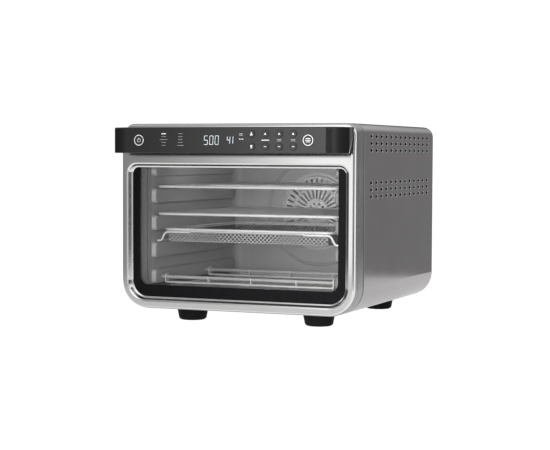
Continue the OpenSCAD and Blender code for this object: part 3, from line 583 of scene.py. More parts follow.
def make_door_frame():
    built = Builder()
    crown = RIM_STEP + (RIM_Y - EDGE_R) * SIDE_SLOPE
    face = [(RIM_STEP + (RIM_Y - depth) * SIDE_SLOPE, depth) for depth in (RIM_Y, RIM_Y - 1.6, RIM_Y - 3.2)]
    face += fillet((crown, EDGE_R), (crown + EDGE_R, 0), 7)
    bevel = [(-2.2, 0), (-1.9, 0.04), (-1.6, 0.16), (0.0, 0.94), (0.35, 1.2), (0.6, 1.55)]
    bevel += [(inset, RECESS - above) for inset, above in (
        (3.2, 2.3), (3.45, 2.0), (3.8, 1.75), (5.3, 1.0), (5.7, 0.7), (BEVEL_W, 0.25), (BEVEL_W - 0.3, 0.05))]
    back = [(RIM_STEP + 2, RECESS - 0.05), (RIM_STEP + 2, RIM_Y)]
    built.sweep_all([(body_outline, face), (window_outline, bevel), (body_outline, back)], around=True)
    lean_back(built.bm, LEAN_Z, LEAN_DEPTH, RIM_DEPTH)
    piece("door_frame_steel", built, door_steel, "door", ["door_frame"],
          second=(polished_steel, is_polished))

    rim = Builder()
    rim.sweep(body_outline, [(0.4, RIM_DEPTH), (0, RIM_DEPTH - 0.4), (0, RIM_Y + 0.3), (0.3, RIM_Y),
                             (2.2, RIM_Y), (2.2, RIM_DEPTH)], around=True)
    lean_back(rim.bm, LEAN_Z, LEAN_DEPTH, RIM_DEPTH)
    for v in rim.bm.verts:
        if v.co.z < NOTCH_Z and v.co.y > NOTCH_DEPTH:
            v.co.y = NOTCH_DEPTH
    piece("door_rim_band", rim, rim_steel, "door")


def make_glass():
    """Both panes with ground edges, and the black border printed on the outer one."""
    outer = extent("door_outer_glass")
    inner = extent("door_inner_glass")
    e = PANE_EDGE
    built = Builder()
    front = outer.y0 + 0.25
    built.sweep(lambda inset: box_panel(outer, inset, 26 - inset, 14 - inset),
                [(e, front), (0, front + e), (0, outer.y1 - e), (e, outer.y1)], caps=True)
    piece("outer_pane", built, pane_glass, "door", ["door_outer_glass"])

    border = Builder()
    border.plate(box_panel(outer, 0.5, 25, 13), [panel(BORDER_HW, *BORDER_Z, 15, 6)],
                 outer.y0, outer.y0 + 0.18)
    piece("glass_border", border, frit_black, "door")

    built = Builder()
    built.sweep(lambda inset: box_panel(inner, inset, 20, 14),
                [(e, inner.y0), (0, inner.y0 + e), (0, inner.y1 - e), (e, inner.y1)], caps=True)
    piece("inner_pane", built, pane_glass, "door", ["door_inner_glass"])


def make_inner_frame():
    """The pan on the door's back: a rolled outer edge, a groove, and the opening for the inner pane."""
    box = extent("door_inner_frame")
    glass_y = extent("door_inner_glass").y1 - 0.02
    y = box.y1

    def ring(inset):
        return box_panel(box, inset, 24 - inset, 12 - inset)

    def opening(inset):
        return panel(PAN_HW - inset, PAN_Z[0] + inset, PAN_Z[1] - inset, 14 - inset, 8 - inset)

    edge = [(0, box.y0)] + fillet((0, y - 3), (3, y), 4) + [(7, y), (8, y - 0.8), (9.4, y - 0.8), (10.4, y)]
    mouth = [(-0.6, y), (0, y - 0.5), (0, y - 1.4), (-0.3, glass_y)]
    back = [(1.5, glass_y), (1.5, box.y0)]
    built = Builder()
    built.sweep_all([(ring, edge), (opening, mouth), (ring, back)], around=True)
    piece("door_inner_pan", built, pan_steel, "door", ["door_inner_frame"])


# ---------------------------------------------------------------- handle and controls

HANDLE = extent("handle_shell")
HANDLE_R = 35
HANDLE_EDGE = 1.8
HANDLE_WALL = 2.5
HANDLE_TRIM = 2.4
BACK_LOW = -24
BACK_HIGH = -5
FACE = HANDLE.y0
BUTTON_NODES = {name: extent(name + "_button") for name in (
    "power", "start", "function", "light", "temperature_down", "temperature_up", "time_down",
    "time_up", "preset_down", "preset_up")}
FLANGE_EXTRA = 1.1
BUTTON_GAP = 0.3


def button_place(name):
    """(x, z, radius) of a button."""
    box = BUTTON_NODES[name]
    x, _, z = middle(box)
    return x, z, (box.x1 - box.x0) / 2 - FLANGE_EXTRA


def handle_plan(inset, back):
    """The handle's outline from above, from its left end round the front to its right end."""
    hw = HALF_W - inset
    r = HANDLE_R - inset
    y = FACE + inset
    return ([(-hw, back)] + arc(-hw + r, y + r, r, 180, 270, 12)
            + arc(hw - r, y + r, r, 270, 360, 12) + [(hw, back)])


def make_handle():
    built = Builder()
    z0 = HANDLE.z0
    z1 = HANDLE.z1
    e = HANDLE_EDGE
    hw = HALF_W - HANDLE_R
    levels = [(e * (1 - math.sin(a)), z1 - e * (1 - math.cos(a))) for a in in_radians(range(0, 91, 15))]
    upper = [[(x, y, z) for x, y in handle_plan(inset, 0)] for inset, z in levels]
    lower = [[(x, y, z0 + z1 - z) for x, y, z in row] for row in upper]
    for rows in (upper, lower):
        made = built.loft(rows, closed=False)
        built.bm.faces.new(made[0])
    plan = handle_plan(0, 0)
    half = len(plan) // 2
    for part in (plan[:half], plan[half:]):
        built.loft([[(x, y, z) for x, y in part] for z in (z0 + e, z1 - e)], closed=False)
    holes = []
    for name in BUTTON_NODES:
        x, z, r = button_place(name)
        rim = r + BUTTON_GAP
        holes.append((round_rings(x, z, 40, ((rim + 0.5, 0), (rim + 0.15, 0.12), (rim, 0.45))), False))
    built.pressed(rectangle(-hw, hw, z0 + e, z1 - e), holes, lambda u, v, h: (u, FACE + h, v))
    slope = (BACK_HIGH - BACK_LOW) / (z1 - z0)
    bm = built.bm
    bmesh.ops.remove_doubles(bm, verts=bm.verts, dist=MERGE_MM)
    for y, is_end in ((BACK_LOW, True), (BACK_LOW - HANDLE_TRIM, False)):
        bmesh.ops.bisect_plane(bm, geom=bm.verts[:] + bm.edges[:] + bm.faces[:], clear_outer=is_end,
                               plane_co=(0, y, z0), plane_no=(0, 1, -slope))

    def is_trim(face):
        centre = face.calc_center_median()
        return centre.y > BACK_LOW - HANDLE_TRIM + slope * (centre.z - z0) and abs(face.normal.x) > 0.9

    piece("handle_case", built, black_gloss, "door", ["handle_shell"],
          thickness=HANDLE_WALL, facing=(0, -1, 0), sharp=50, second=(polished_steel, is_trim))


def flat_mark(built, outline, depth, thick=0.06):
    """A printed or lit mark: a thin raised shape on a face."""
    built.loft([at_depth(outline, depth), at_depth(outline, depth + thick)], caps=True)


def ring_mark(built, cx, cz, outer, inner, front, thick=0.25):
    """A thin ring on a face: printed on the power and start buttons, a painted highlight round the other
    buttons' edges.
    """
    a = circle(cx, cz, outer, 48)
    b = circle(cx, cz, inner, 48)
    back = front + thick
    built.loft([at_depth(ring, y) for ring, y in ((a, front), (b, front), (b, back), (a, back))], around=True)


def stroke(x0, z0, x1, z1, width):
    """A straight line with round ends, as an outline."""
    length = math.hypot(x1 - x0, z1 - z0) + width
    turn = math.degrees(math.atan2(z1 - z0, x1 - x0))
    return pill((x0 + x1) / 2, (z0 + z1) / 2, length, width, turn, 4)


def power_icon(x, z):
    arms = arc(x, z, 3, 125, 415, 14)
    lines = [stroke(*a, *b, 0.6) for a, b in zip(arms, arms[1:])]
    return lines + [stroke(x, z + 0.8, x, z + 3.6, 0.7)]


def start_icon(x, z):
    return [stroke(x - w, z + dz, x + w, z + dz, 1.1) for w, dz in ((3.6, 2.7), (4.4, 0), (3.2, -2.7))]


def function_icon(x, z):
    head = circle(x, z + 1.5, 1.1, 16)
    base = [(x - 2.6, z - 2.4), (x + 2.6, z - 2.4), (x + 1, z + 0.1), (x - 1, z + 0.1)]
    return [head, base]


def light_icon(x, z):
    bulb = circle(x, z + 0.7, 1.8, 20)
    return [bulb] + [stroke(x - 0.9, z + dz, x + 0.9, z + dz, 0.6) for dz in (-1.8, -2.7)]


def up_icon(x, z):
    return [[(x - 2, z - 1.3), (x + 2, z - 1.3), (x, z + 1.8)]]


def down_icon(x, z):
    return [stroke(x - 1.8, z, x + 1.8, z, 0.9)]


def make_buttons():
    icons = {"power": power_icon, "start": start_icon, "function": function_icon, "light": light_icon}
    for name, box in BUTTON_NODES.items():
        x, z, r = button_place(name)
        tip = box.y0
        dish = 0.22
        built = Builder()
        shoulder = FACE + HANDLE_WALL + 0.3
        profile = [(0, tip + dish), (r * 0.45, tip + dish * 0.8), (r * 0.8, tip + dish * 0.35),
                   (r - 0.7, tip + 0.02), (r - 0.3, tip), (r - 0.08, tip + 0.12), (r, tip + 0.35),
                   (r, shoulder), (r + FLANGE_EXTRA, shoulder), (r + FLANGE_EXTRA, box.y1), (0, box.y1)]
        built.lathe(profile, "y", (x, 0, z), 48)
        body = name + "_button"
        piece(name + "_key", built, button_black, body, [body])
        marks = Builder()
        icon = icons.get(name) or (up_icon if name.endswith("up") else down_icon)
        for outline in icon(x, z):
            flat_mark(marks, outline, tip + 0.04, dish)
        if name in ("power", "start"):
            ring_mark(marks, x, z, r - 0.35, r - 1.5, tip + 0.005)
        piece(name + "_symbol", marks, mark_white, body)
        # A faint grey ring round each small button's face: a painted highlight where its edge catches the
        # light.
        if name not in ("power", "start"):
            edge = Builder()
            ring_mark(edge, x, z, r - 0.2, r - 0.75, tip + 0.05)
            piece(name + "_edge", edge, grey_mark_and_painted_highlight, body)


SEGMENTS = {"a": (0, 1, 1, 1), "b": (1, 0.5, 1, 1), "c": (1, 0, 1, 0.5), "d": (0, 0, 1, 0),
            "e": (0, 0, 0, 0.5), "f": (0, 0.5, 0, 1), "g": (0, 0.5, 1, 0.5)}
DIGIT_LINE = 0.85
DIGITS = {"5": "acdfg", "0": "abcdef", "4": "bcfg", "1": "bc"}


def seven_segment(built, digit, x, z, width, height, line, depth):
    """One digit with its lower left corner at (x, z)."""
    slant = 0.06
    gap = line * 0.62
    for key in DIGITS[digit]:
        x0, z0, x1, z1 = SEGMENTS[key]
        ends = [(x + width * u + slant * height * v, z + height * v) for u, v in ((x0, z0), (x1, z1))]
        (ax, az), (bx, bz) = ends
        length = math.hypot(bx - ax, bz - az)
        ux, uz = (bx - ax) / length, (bz - az) / length
        flat_mark(built, stroke(ax + ux * gap, az + uz * gap, bx - ux * gap, bz - uz * gap, line), depth)


def make_panel_marks():
    """The lit digits, the lit dash beside the chosen program, and the faint dashes of the others."""
    mid_z = middle(HANDLE)[2]
    depth = FACE - 0.08
    digits = Builder()
    for shown, left, pitch, below, width, height in (("500", -32.3, 9.7, 7, 5.9, 14),
                                                     ("41", 8.8, 5.4, 5.6, 4.8, 11.6)):
        for i, digit in enumerate(shown):
            seven_segment(digits, digit, left + pitch * i, mid_z - below, width, height, DIGIT_LINE, depth)
    piece("display_digits", digits, digit_light, "door")

    bright = Builder()
    dim = Builder()
    row_z = [mid_z + dz for dz in (10.6, 5.9, 1.2, -3.6, -8.6)]
    for x, widths in ((-106, (8.5, 8.5, 15, 8.5, 7)), (-75.5, (8, 8, 8, 8.5, 13))):
        for z, width in zip(row_z, widths):
            first = x < -100 and z == row_z[0]
            line = pill(x, z, width, 1.5 if first else 0.8)
            flat_mark(bright if first else dim, line, depth)
    for dx, dz, width, target in ((33.5, 10.4, 6.6, dim), (33.5, 8.2, 6.6, dim), (31.7, 1.8, 3.1, bright),
                                  (36.1, 1.8, 3.1, bright)):
        flat_mark(target, pill(dx, mid_z + dz, width, 1.3), depth)
    columns = [button_place(name)[0] for name in ("temperature_up", "time_up", "preset_up")]
    flat_mark(bright, pill(columns[0], mid_z, 13.5, 1.2), depth)
    for x in columns[1:]:
        for dz in (1.1, -1.1):
            flat_mark(dim, pill(x, mid_z + dz, 7.5, 1.0), depth)
    piece("panel_marks_bright", bright, mark_white, "door")
    piece("panel_marks_dim", dim, grey_mark_and_painted_highlight, "door")


# ---------------------------------------------------------------- body

VENT_COLUMNS = 13
VENT_PITCH = (26, 11.5)
VENT_START = 80
VENT_ROWS_Z = (306.5, 230)
VENT_SIZE = (10, 4)
VENT_LIP = ((3.0, 2.6, 0), (2.2, 1.8, 0.2), (1.0, 0.7, 0.9), (0, 0, 1.1))
BASE_GAP_HW = 150
SIDE_REACH = math.radians(6)
ARC_STEPS = 12


def wrap_path(inset):
    """The outer sheet from the gap in its underside, round and back to the gap. Its flat sides reach a
    little way up the top corners, as far as the vents do."""
    points = body_outline(inset, ARC_STEPS)
    radius = TOP_R - inset
    x = HALF_W - TOP_R + radius * math.cos(SIDE_REACH)
    z = TOP_Z - TOP_R + radius * math.sin(SIDE_REACH)
    corner = ARC_STEPS + 1
    points[corner] = (x, z)
    points[3 * corner - 1] = (-x, z)
    return [(BASE_GAP_HW, FOOT_H + inset)] + points + [(-BASE_GAP_HW, FOOT_H + inset)]


def make_wrap():
    built = Builder()
    y0 = WRAP.y0
    y1 = WRAP.y1
    front = y0 + 2.5
    back = y1 - 2.5
    built.sweep(wrap_path, [(2.6, y0 + 2.4), (1.5, y0 + 0.9), (0.8, y0 + 0.12), (0.25, y0 + 0.2),
                            (0, y0 + 0.9), (0, front)], closed=False)
    built.sweep(wrap_path, [(0, back), (0, y1 - 1.2), (0.25, y1 - 0.4), (0.9, y1 - 0.05), (3, y1 - 0.02),
                            (13, y1 - 0.02)], closed=False)
    path = wrap_path(0)
    for a, b in zip(path, path[1:]):
        if abs(a[1] - b[1]) < 100:
            built.loft([at_depth((a, b), y) for y in (front, back)], closed=False)
    vents = []
    for centre in VENT_ROWS_Z:
        for row in (-1, 0, 1):
            for column in range(VENT_COLUMNS):
                u = VENT_START + column * VENT_PITCH[0]
                v = centre + row * VENT_PITCH[1]
                vents.append((pill_rings(u, v, *VENT_SIZE, VENT_LIP), False))

    def side_x(z):
        above = max(0, z - (TOP_Z - TOP_R))
        return HALF_W - TOP_R + math.sqrt(TOP_R ** 2 - above ** 2)

    flat_top = TOP_Z - TOP_R + TOP_R * math.sin(SIDE_REACH)
    for side in (-1, 1):
        built.pressed(rectangle(front, back, FOOT_H + BOTTOM_R, flat_top), vents,
                      lambda u, v, h, side=side: (side * (side_x(v) - h), u, v))
    piece("outer_wrap_sheet", built, wrap_steel, BODY, ["outer_wrap"],
          thickness=1.1, facing=(0, 0, 1))


MOUTH_HW = 172
MOUTH_RIM = 8
HINGE_GAP_Y = 22.5


def is_mouth_trim(face, depth, floor_z, top_z):
    """The duller sheet round the cavity's mouth."""
    centre = face.calc_center_median()
    in_width = abs(centre.x) < MOUTH_HW + MOUTH_RIM + 1
    return in_width and abs(centre.y - depth) < 3 and floor_z - MOUTH_RIM < centre.z < top_z + MOUTH_RIM + 1


def make_bezel():
    """The dark band behind the door, its tongue under the wrap, and the flange round the cavity's mouth."""
    built = Builder()
    y0 = BEZEL.y0
    y1 = WRAP.y0 - 2.6
    wall = 3
    band = [(wall, y0 + 0.4), (wall - 0.4, y0), (0.9, y0), (0.25, y0 + 0.25), (0, y0 + 0.9), (0, y1 - 0.9),
            (0.25, y1 - 0.25), (0.9, y1), (wall, y1)]
    tongue = [(1.7, y1 - 0.6), (1.7, BEZEL.y1), (3.1, BEZEL.y1), (3.1, y1 - 0.6)]
    built.sweep(body_outline, band, around=True)
    for v in built.bm.verts:
        if v.co.z < NOTCH_Z and v.co.y < HINGE_GAP_Y:
            v.co.y = HINGE_GAP_Y + (v.co.y - y0) * 0.02
    built.sweep(body_outline, tongue, around=True)
    top_z = extent("cavity_top").z0
    floor_z = extent("cavity_floor").z1
    back = extent("cavity_left_wall").y0
    front = back - 2
    opening = panel(MOUTH_HW, floor_z, top_z, 4, 4, 6)
    trim = panel(MOUTH_HW + MOUTH_RIM, floor_z - MOUTH_RIM + 1, top_z + MOUTH_RIM, 10, 10, 6)
    built.plate(trim, [opening], front, back)
    built.plate(body_outline(wall - 0.5), [trim], front, back)
    piece("bezel_ring", built, bezel_metal, BODY, ["front_bezel"], bevel=0.25, segments=1,
          second=(trim_steel, lambda face: is_mouth_trim(face, front, floor_z, top_z)))


def make_gasket():
    box = extent("door_gasket")
    y0 = box.y0
    y1 = box.y1
    built = Builder()
    built.sweep(lambda inset: box_panel(box, inset, 14 - inset, 14 - inset),
                [(0, y1), (0, y1 - 0.9), (0.5, y0 + 0.5), (1.3, y0), (2.2, y0 + 0.6), (3, y0 + 1.2),
                 (3.8, y0 + 0.6), (4.7, y0), (5.5, y0 + 0.5), (6, y1 - 0.9), (6, y1)], around=True)
    piece("door_seal", built, gasket_rubber, BODY, ["door_gasket"], sharp=60)


LANDS = [(64, 89), (109, 136), (156, 182), (203, 229), (249.5, 267)]
LAND_DEPTH = 8
LAND_Y = (35, 362)
ROD_Y = (60, 235)
BACK_Y = 385
CORNER_R = 18


def land_feature(z0, z1):
    """A pressed ledge with round ends and shoulders."""
    edge = 3
    profile = [(-1.6, 0), (-0.6, 0.4), (0, 1.4), (0, LAND_DEPTH - edge)]
    profile += [(edge * (1 - math.cos(a)), LAND_DEPTH - edge + edge * math.sin(a))
                for a in in_radians((22, 45, 68, 90))]
    rings = []
    for inset, height in profile:
        r = max(1.5, 7.5 - max(0, inset))
        rings.append((round_box(LAND_Y[0] + inset, LAND_Y[1] - inset, z0 + inset, z1 - inset, r), height))
    return rings, True


def is_ledge_end(face):
    """The end of a ledge that faces the door."""
    return face.normal.y < -0.3


def make_side_walls():
    """Both walls with their ledges. The ends of the right wall's ledges get the darker pan_steel: painted
    shade.
    """
    for name, side in (("cavity_left_wall", -1), ("cavity_right_wall", 1)):
        box = extent(name)
        hw = min(abs(box.x0), abs(box.x1)) + LAND_DEPTH
        features = [land_feature(z0, z1) for z0, z1 in LANDS]
        built = Builder()
        built.pressed(rectangle(box.y0, box.y1, box.z0, box.z1), features,
                      lambda u, v, h, side=side, hw=hw: (side * (hw - h), u, v))
        # On the right wall, the ledges' ends that face the door get a darker material: painted shade.
        piece(name + "_pressed", built, cavity_steel, BODY, [name],
              thickness=1.1, facing=(-side, 0, 0), sharp=60,
              second=(pan_steel, is_ledge_end) if side > 0 else None)


def make_cavity_top():
    box = extent("cavity_top")
    cx, cy, _ = middle(extent("lamp_lens"))
    built = Builder()
    lamp_ring = (round_rings(cx, cy, 40, ((27, 0), (25.5, 0.6), (22, 0.8), (21, 0.4))), False)
    ribs = [(pill_rings(x, y, length, 9, ((0, 0, 0), (-3, -3, 0.9))), True)
            for x, y, length in ((-60, 110, 160), (-60, 180, 160), (0, 290, 260), (0, 340, 260))]
    built.pressed(rectangle(box.x0, box.x1, box.y0, box.y1), [lamp_ring] + ribs,
                  lambda u, v, h: (u, v, box.z0 - h))
    piece("cavity_top_pressed", built, cavity_steel, BODY, ["cavity_top"],
          thickness=1.1, facing=(0, 0, -1), sharp=60)


def make_back_wall():
    """The back of the cavity, with round upright corners, the ring round the fan, a seam, and curved edges
    at its top and bottom."""
    z0 = extent("cavity_floor").z1
    z1 = extent("cavity_top").z0
    fan_z = middle(extent("fan_grille"))[2]
    sensor_x, _, sensor_z = middle(extent("temperature_sensor"))
    r = CORNER_R
    edge = 6
    flat_x = MOUTH_HW - r
    built = Builder()
    fan_rings = round_rings(0, fan_z, 96, (
        (105, 0), (104.2, -1.2), (103.4, 0), (102.2, 1.5), (101, 1.9), (99.8, 1.5), (98.6, 0), (97.8, -1.2),
        (97, 0), (64, 0), (63, -1.5)))
    sensor_hole = round_rings(sensor_x, sensor_z, 16, ((2.6, 0), (2.1, -0.8)))
    seam_x = -flat_x + 12
    seam = [(round_box(seam_x - 1.6, seam_x + 1.6, z0 + 12, z1 - 12, 1.5, 4), 0),
            (round_box(seam_x - 0.8, seam_x + 0.8, z0 + 13, z1 - 13, 0.7, 4), -0.9)]
    built.pressed(rectangle(-flat_x, flat_x, z0 + edge, z1 - edge),
                  [(fan_rings, False), (sensor_hole, False), (seam, True)],
                  lambda u, v, h: (u, BACK_Y - h, v))
    for side in (-1, 1):
        corner = [(side * (flat_x + r * math.sin(a)), BACK_Y - r + r * math.cos(a))
                  for a in in_radians(range(0, 91, 9))]
        built.loft([[(x, y, z) for x, y in corner] for z in (z0, z0 + edge, z1 - edge, z1)], closed=False)
    for za, zb, way in ((z0, z0 + edge, 1), (z1, z1 - edge, -1)):
        places = [(BACK_Y - edge * (1 - math.cos(a)), zb - way * edge * math.sin(a))
                  for a in in_radians((0, 30, 60, 90))]
        places.append((extent("cavity_back_wall").y0, za))
        built.loft([[(-flat_x, y, z), (flat_x, y, z)] for y, z in places], closed=False)
    piece("cavity_back_pressed", built, cavity_steel, BODY, ["cavity_back_wall"],
          thickness=1.0, facing=(0, -1, 0), sharp=60)


def make_guard():
    """The round guard in front of the fan: an outer ring of slots, inner rays with raised lips, hub holes."""
    box = extent("fan_grille")
    fan_z = middle(box)[2]
    front = box.y0
    radius = 68
    built = Builder()
    features = []
    for count, reach, length, width, lip in ((36, 56, 14, 3.4, 0.15), (28, 34, 20, 2.4, 0.9)):
        for i in range(count):
            turn = 360 * i / count
            a = math.radians(turn)
            lips = ((2, 1.1, 0), (1, 0.6, lip), (0, 0, lip * 0.8), (0, 0, -0.6))
            rings = pill_rings(reach * math.cos(a), reach * math.sin(a), length, width, lips, turn, 5)
            features.append((rings, False))
    for a in in_radians(range(0, 360, 36)):
        hole = ((2.5, 0), (2.1, 0.4), (2, -0.4))
        features.append((round_rings(15 * math.cos(a), 15 * math.sin(a), 14, hole), False))
    features.append((round_rings(0, 0, 32, ((9, 0), (8, 0.9), (3, 1))), True))
    built.pressed(circle(0, 0, radius - 2.4, 96), features, lambda u, v, h: (u, front + 1.1 - h, fan_z + v))
    profile = [(radius - 2.4, front + 1.1), (radius - 1.2, front + 1.4), (radius - 0.4, front + 2.4),
               (radius - 0.2, front + 7.2), (radius + 0.8, front + 8), (radius + 5, front + 8.2)]
    built.lathe(profile, "y", (0, 0, fan_z), 96)
    piece("fan_guard", built, guard_steel, BODY, ["fan_grille"],
          thickness=0.8, facing=(0, -1, 0), sharp=50)


# ---------------------------------------------------------------- things inside the cavity


RACK_WIRE_R = 2.6
CROSS_WIRES = 29
RIM_R = 2.3
RAIL_R = 2


def is_in_painted_shade(face, y0, y1, hw):
    """The faces inside a bright frame, which get a darker copy of its material as painted shade."""
    centre = face.calc_center_median()
    return y0 < centre.y < y1 and abs(centre.x) < hw


def wire_loop(built, hw, y0, y1, z, corner, radius, sides):
    """A level wire frame with round corners."""
    path = rounded_path([(-hw, y0, z), (hw, y0, z), (hw, y1, z), (-hw, y1, z)], corner, 8, closed=True)
    built.tube(path, radius, sides, closed=True)


def make_rack(node):
    box = extent(node)
    hw = box.x1 - RACK_WIRE_R
    y0 = box.y0 + RACK_WIRE_R
    y1 = box.y1 - RACK_WIRE_R
    z = middle(box)[2]
    built = Builder()
    wire_loop(built, hw, y0, y1, z, 15, RACK_WIRE_R, 12)
    pitch = 2 * (hw - 8) / (CROSS_WIRES - 1)
    for i in range(CROSS_WIRES):
        x = -hw + 8 + i * pitch
        inset = 4 if i in (0, CROSS_WIRES - 1) else 1
        built.tube([(x, y0 + inset, z + 1.2), (x, y1 - inset, z + 1.2)], 0.7, 8)
    for t in (0.2, 0.5, 0.8):
        y = y0 + (y1 - y0) * t
        built.tube([(-hw + 1, y, z - 1.2), (hw - 1, y, z - 1.2)], 1.6, 8)
    # The wires inside the frame get the darker copy of the chrome: painted shade.
    piece(node + "_wires", built, wire_chrome, node, [node], sharp=70,
          second=(wire_painted_shade, lambda face: is_in_painted_shade(face, y0 + 6, y1 - 6, hw - 6)))


def lattice(built, u0, u1, v0, v1, place, segment=1000, pitch=7.4, half=0.6):
    """Crossing diagonal wires that fill a rectangle, each clipped to it and made in lengths of segment,
    so that place can bend it."""
    width = u1 - u0
    height = v1 - v0
    for slope in (1, -1):
        count = int((width + height) / pitch)
        for i in range(1, count + 1):
            offset = i * pitch
            low = max(0, offset - height)
            high = min(width, offset)
            if high - low < 1:
                continue
            ends = [(u0 + (u if slope > 0 else width - u), v0 + offset - u) for u in (low, high)]
            (ua, va), (ub, vb) = ends
            length = math.hypot(ub - ua, vb - va)
            nu = -(vb - va) / length * half
            nv = (ub - ua) / length * half
            lift = half * 0.8 * slope
            lengths = max(1, round(length / segment))
            rows = []
            for k in range(lengths + 1):
                u = ua + (ub - ua) * k / lengths
                v = va + (vb - va) * k / lengths
                rows.append([place(u + nu, v + nv, lift), place(u, v, lift + half),
                             place(u - nu, v - nv, lift), place(u, v, lift - half)])
            built.loft(rows, caps=True)


def make_basket():
    mesh = extent("basket_mesh")
    rail = extent("basket_frame")
    z0 = mesh.z0 + 0.8
    z1 = mesh.z1
    hw = mesh.x1 - 1
    y0 = mesh.y0 + 1
    y1 = mesh.y1 - 1
    built = Builder()
    r = 4
    side_height = z1 - z0 - r

    def up_side(v, h, wall, way):
        """The place across and up of a point on a side, v above its round lower corner or on it."""
        a = max(0, -v / r)
        across = wall - way * r * (1 - math.cos(a)) + way * h * math.cos(a)
        return across, z0 + r + max(0, v) - (r + h) * math.sin(a)

    lattice(built, -hw + r, hw - r, y0 + r, y1 - r, lambda u, v, h: (u, v, z0 + h))
    for wall, way in ((y0, -1), (y1, 1)):
        lattice(built, -hw + r, hw - r, -r * math.pi / 2, side_height,
                lambda u, v, h, wall=wall, way=way: (u, *up_side(v, h, wall, way)), 2.5)
    for way in (-1, 1):

        def place(u, v, h, way=way):
            across, up = up_side(v, h, way * hw, way)
            return across, u, up

        lattice(built, y0 + r, y1 - r, -r * math.pi / 2, side_height, place, 2.5)
    # The weave behind the front wall gets a dark copy of the chrome: painted shade.
    piece("basket_weave", built, wire_chrome, "basket", ["basket_mesh"], sharp=80,
          second=(mesh_painted_shade, lambda face: is_in_painted_shade(face, y0 + r, y1 + 9, hw + 9)))

    rails = Builder()
    rim_z = rail.z1 - RIM_R
    rim_hw = mesh.x1 + RIM_R
    rim_y = (mesh.y0 - RIM_R, mesh.y1 + RIM_R)
    wire_loop(rails, rim_hw, *rim_y, rim_z, 14, 2.2, 12)
    wire_loop(rails, hw, y0, y1, z1 - 0.6, 12, 1.5, 8)
    run_x = rail.x1 - RAIL_R
    run_z = rail.z0 + RAIL_R
    arm_z = rim_z - 4.6
    arm = [(run_x, run_z), (run_x - 7, run_z), (rim_hw - 2, arm_z), (rim_hw - 50, arm_z)]
    ends = (rim_y[0] + 1, rim_y[1] - 1)
    for y in ends:
        for side in (-1, 1):
            rails.tube(rounded_path([(side * x, y, z) for x, z in arm], 6, 5), RAIL_R, 10)
    for side in (-1, 1):
        rails.tube([(side * run_x, y, run_z) for y in ends], RAIL_R, 10)
    piece("basket_rails", rails, wire_chrome, "basket", ["basket_frame"], sharp=70)


def make_tray():
    box = extent("crumb_tray")
    z0 = box.z0
    z1 = box.z1
    built = Builder()
    rows = []
    for inset, z in ((0.6, z0), (0.1, z0 + 0.6), (0.1, z1 - 1.2), (0, z1 - 0.6), (0.5, z1 - 0.05), (1.3, z1),
                     (2.2, z1 - 0.4), (2.4, z1 - 1.2), (3.2, z0 + 1.6), (4.6, z0 + 0.9)):
        outline = round_box(box.x0 + inset, box.x1 - inset, box.y0 + inset, box.y1 - inset, max(1, 8 - inset))
        rows.append([(x, y, z) for x, y in outline])
    made = built.loft(rows)
    built.bm.faces.new(made[0])
    built.bm.faces.new(made[-1])
    piece("crumb_tray_sheet", built, guard_steel, "crumb_tray", ["crumb_tray"], sharp=50)


def make_elements():
    """Heater rods: a thick tube between its ferrules, with a thin pin at each end."""
    ferrule = [(2, 181.2), (3.1, 181), (3.2, 180.6), (3.2, 171), (3.05, 170.5)]
    for node in ("lower_front_element", "lower_rear_element", "upper_front_element", "upper_rear_element"):
        box = extent(node)
        _, y, z = middle(box)
        profile = [(0, box.x0), (1.7, box.x0), (2, box.x0 + 0.4)] + [(r, -x) for r, x in ferrule]
        profile += ferrule[::-1] + [(2, box.x1 - 0.4), (1.7, box.x1), (0, box.x1)]
        built = Builder()
        built.lathe(profile, "x", (0, y, z), 24)
        piece(node + "_rod", built, heater_sheath, BODY, [node], sharp=60)


def make_supports():
    """Under each lower rod a rail with an end bracket at each side and three forks, and over each upper rod
    three hangers."""
    box = extent("element_supports")
    rod_z = middle(extent("lower_front_element"))[2]
    upper_z = middle(extent("upper_front_element"))[2]
    rail_z = box.z0
    rail_hw = 155
    channel = [(-4, 2.4), (-4, 0), (4, 0), (4, 2.4), (3.2, 2.4), (3.2, 0.8), (-3.2, 0.8), (-3.2, 2.4)]
    built = Builder()
    for y in ROD_Y:
        built.loft([[(x, y + u, rail_z + v) for u, v in channel] for x in (-rail_hw, rail_hw)], caps=True)
        for x in (-rail_hw, rail_hw):
            built.plate_x(x - 0.9, x + 0.9, round_box(y - 6, y + 6, rail_z + 0.2, rod_z + 6, 2.5),
                          [circle(y, rod_z, 3.5, 24)])
        for x in (-75, 5, 88):
            fork = [(y - 3, rail_z + 0.8), (y + 3, rail_z + 0.8), (y + 4.6, rod_z - 1),
                    (y + 4.4, rod_z + 2.6)]
            fork += arc(y, rod_z, 3.4, 40, -220, 14) + [(y - 4.4, rod_z + 2.6), (y - 4.6, rod_z - 1)]
            built.plate_x(x - 1, x + 1, fork, [])
            built.block(x - 4, x + 4, y - 3, y + 3, rail_z + 0.6, rail_z + 1.6)
        for x in (-90, 0, 90):
            built.plate_x(x - 0.8, x + 0.8, round_box(y - 6, y + 6, upper_z - 6, box.z1, 2.4),
                          [circle(y, upper_z, 3.5, 24)])
    piece("element_brackets", built, guard_steel, BODY, ["element_supports"],
          bevel=0.2, segments=1)


def make_lamp():
    box = extent("lamp_lens")
    cx, cy, _ = middle(box)
    r = box.x1 - cx
    low = box.z0
    built = Builder()
    built.lathe([(0, low), (8, low + 0.1), (15, low + 0.5), (19.5, low + 1.3), (r - 4.5, low + 1.6),
                 (r - 4.5, low + 2.6), (r, box.z1 - 2), (r, box.z1), (0, box.z1)], "z", (cx, cy, 0), 48)
    piece("lamp_window", built, lamp_white, BODY, ["lamp_lens"], sharp=50)


# ---------------------------------------------------------------- feet, back and underside


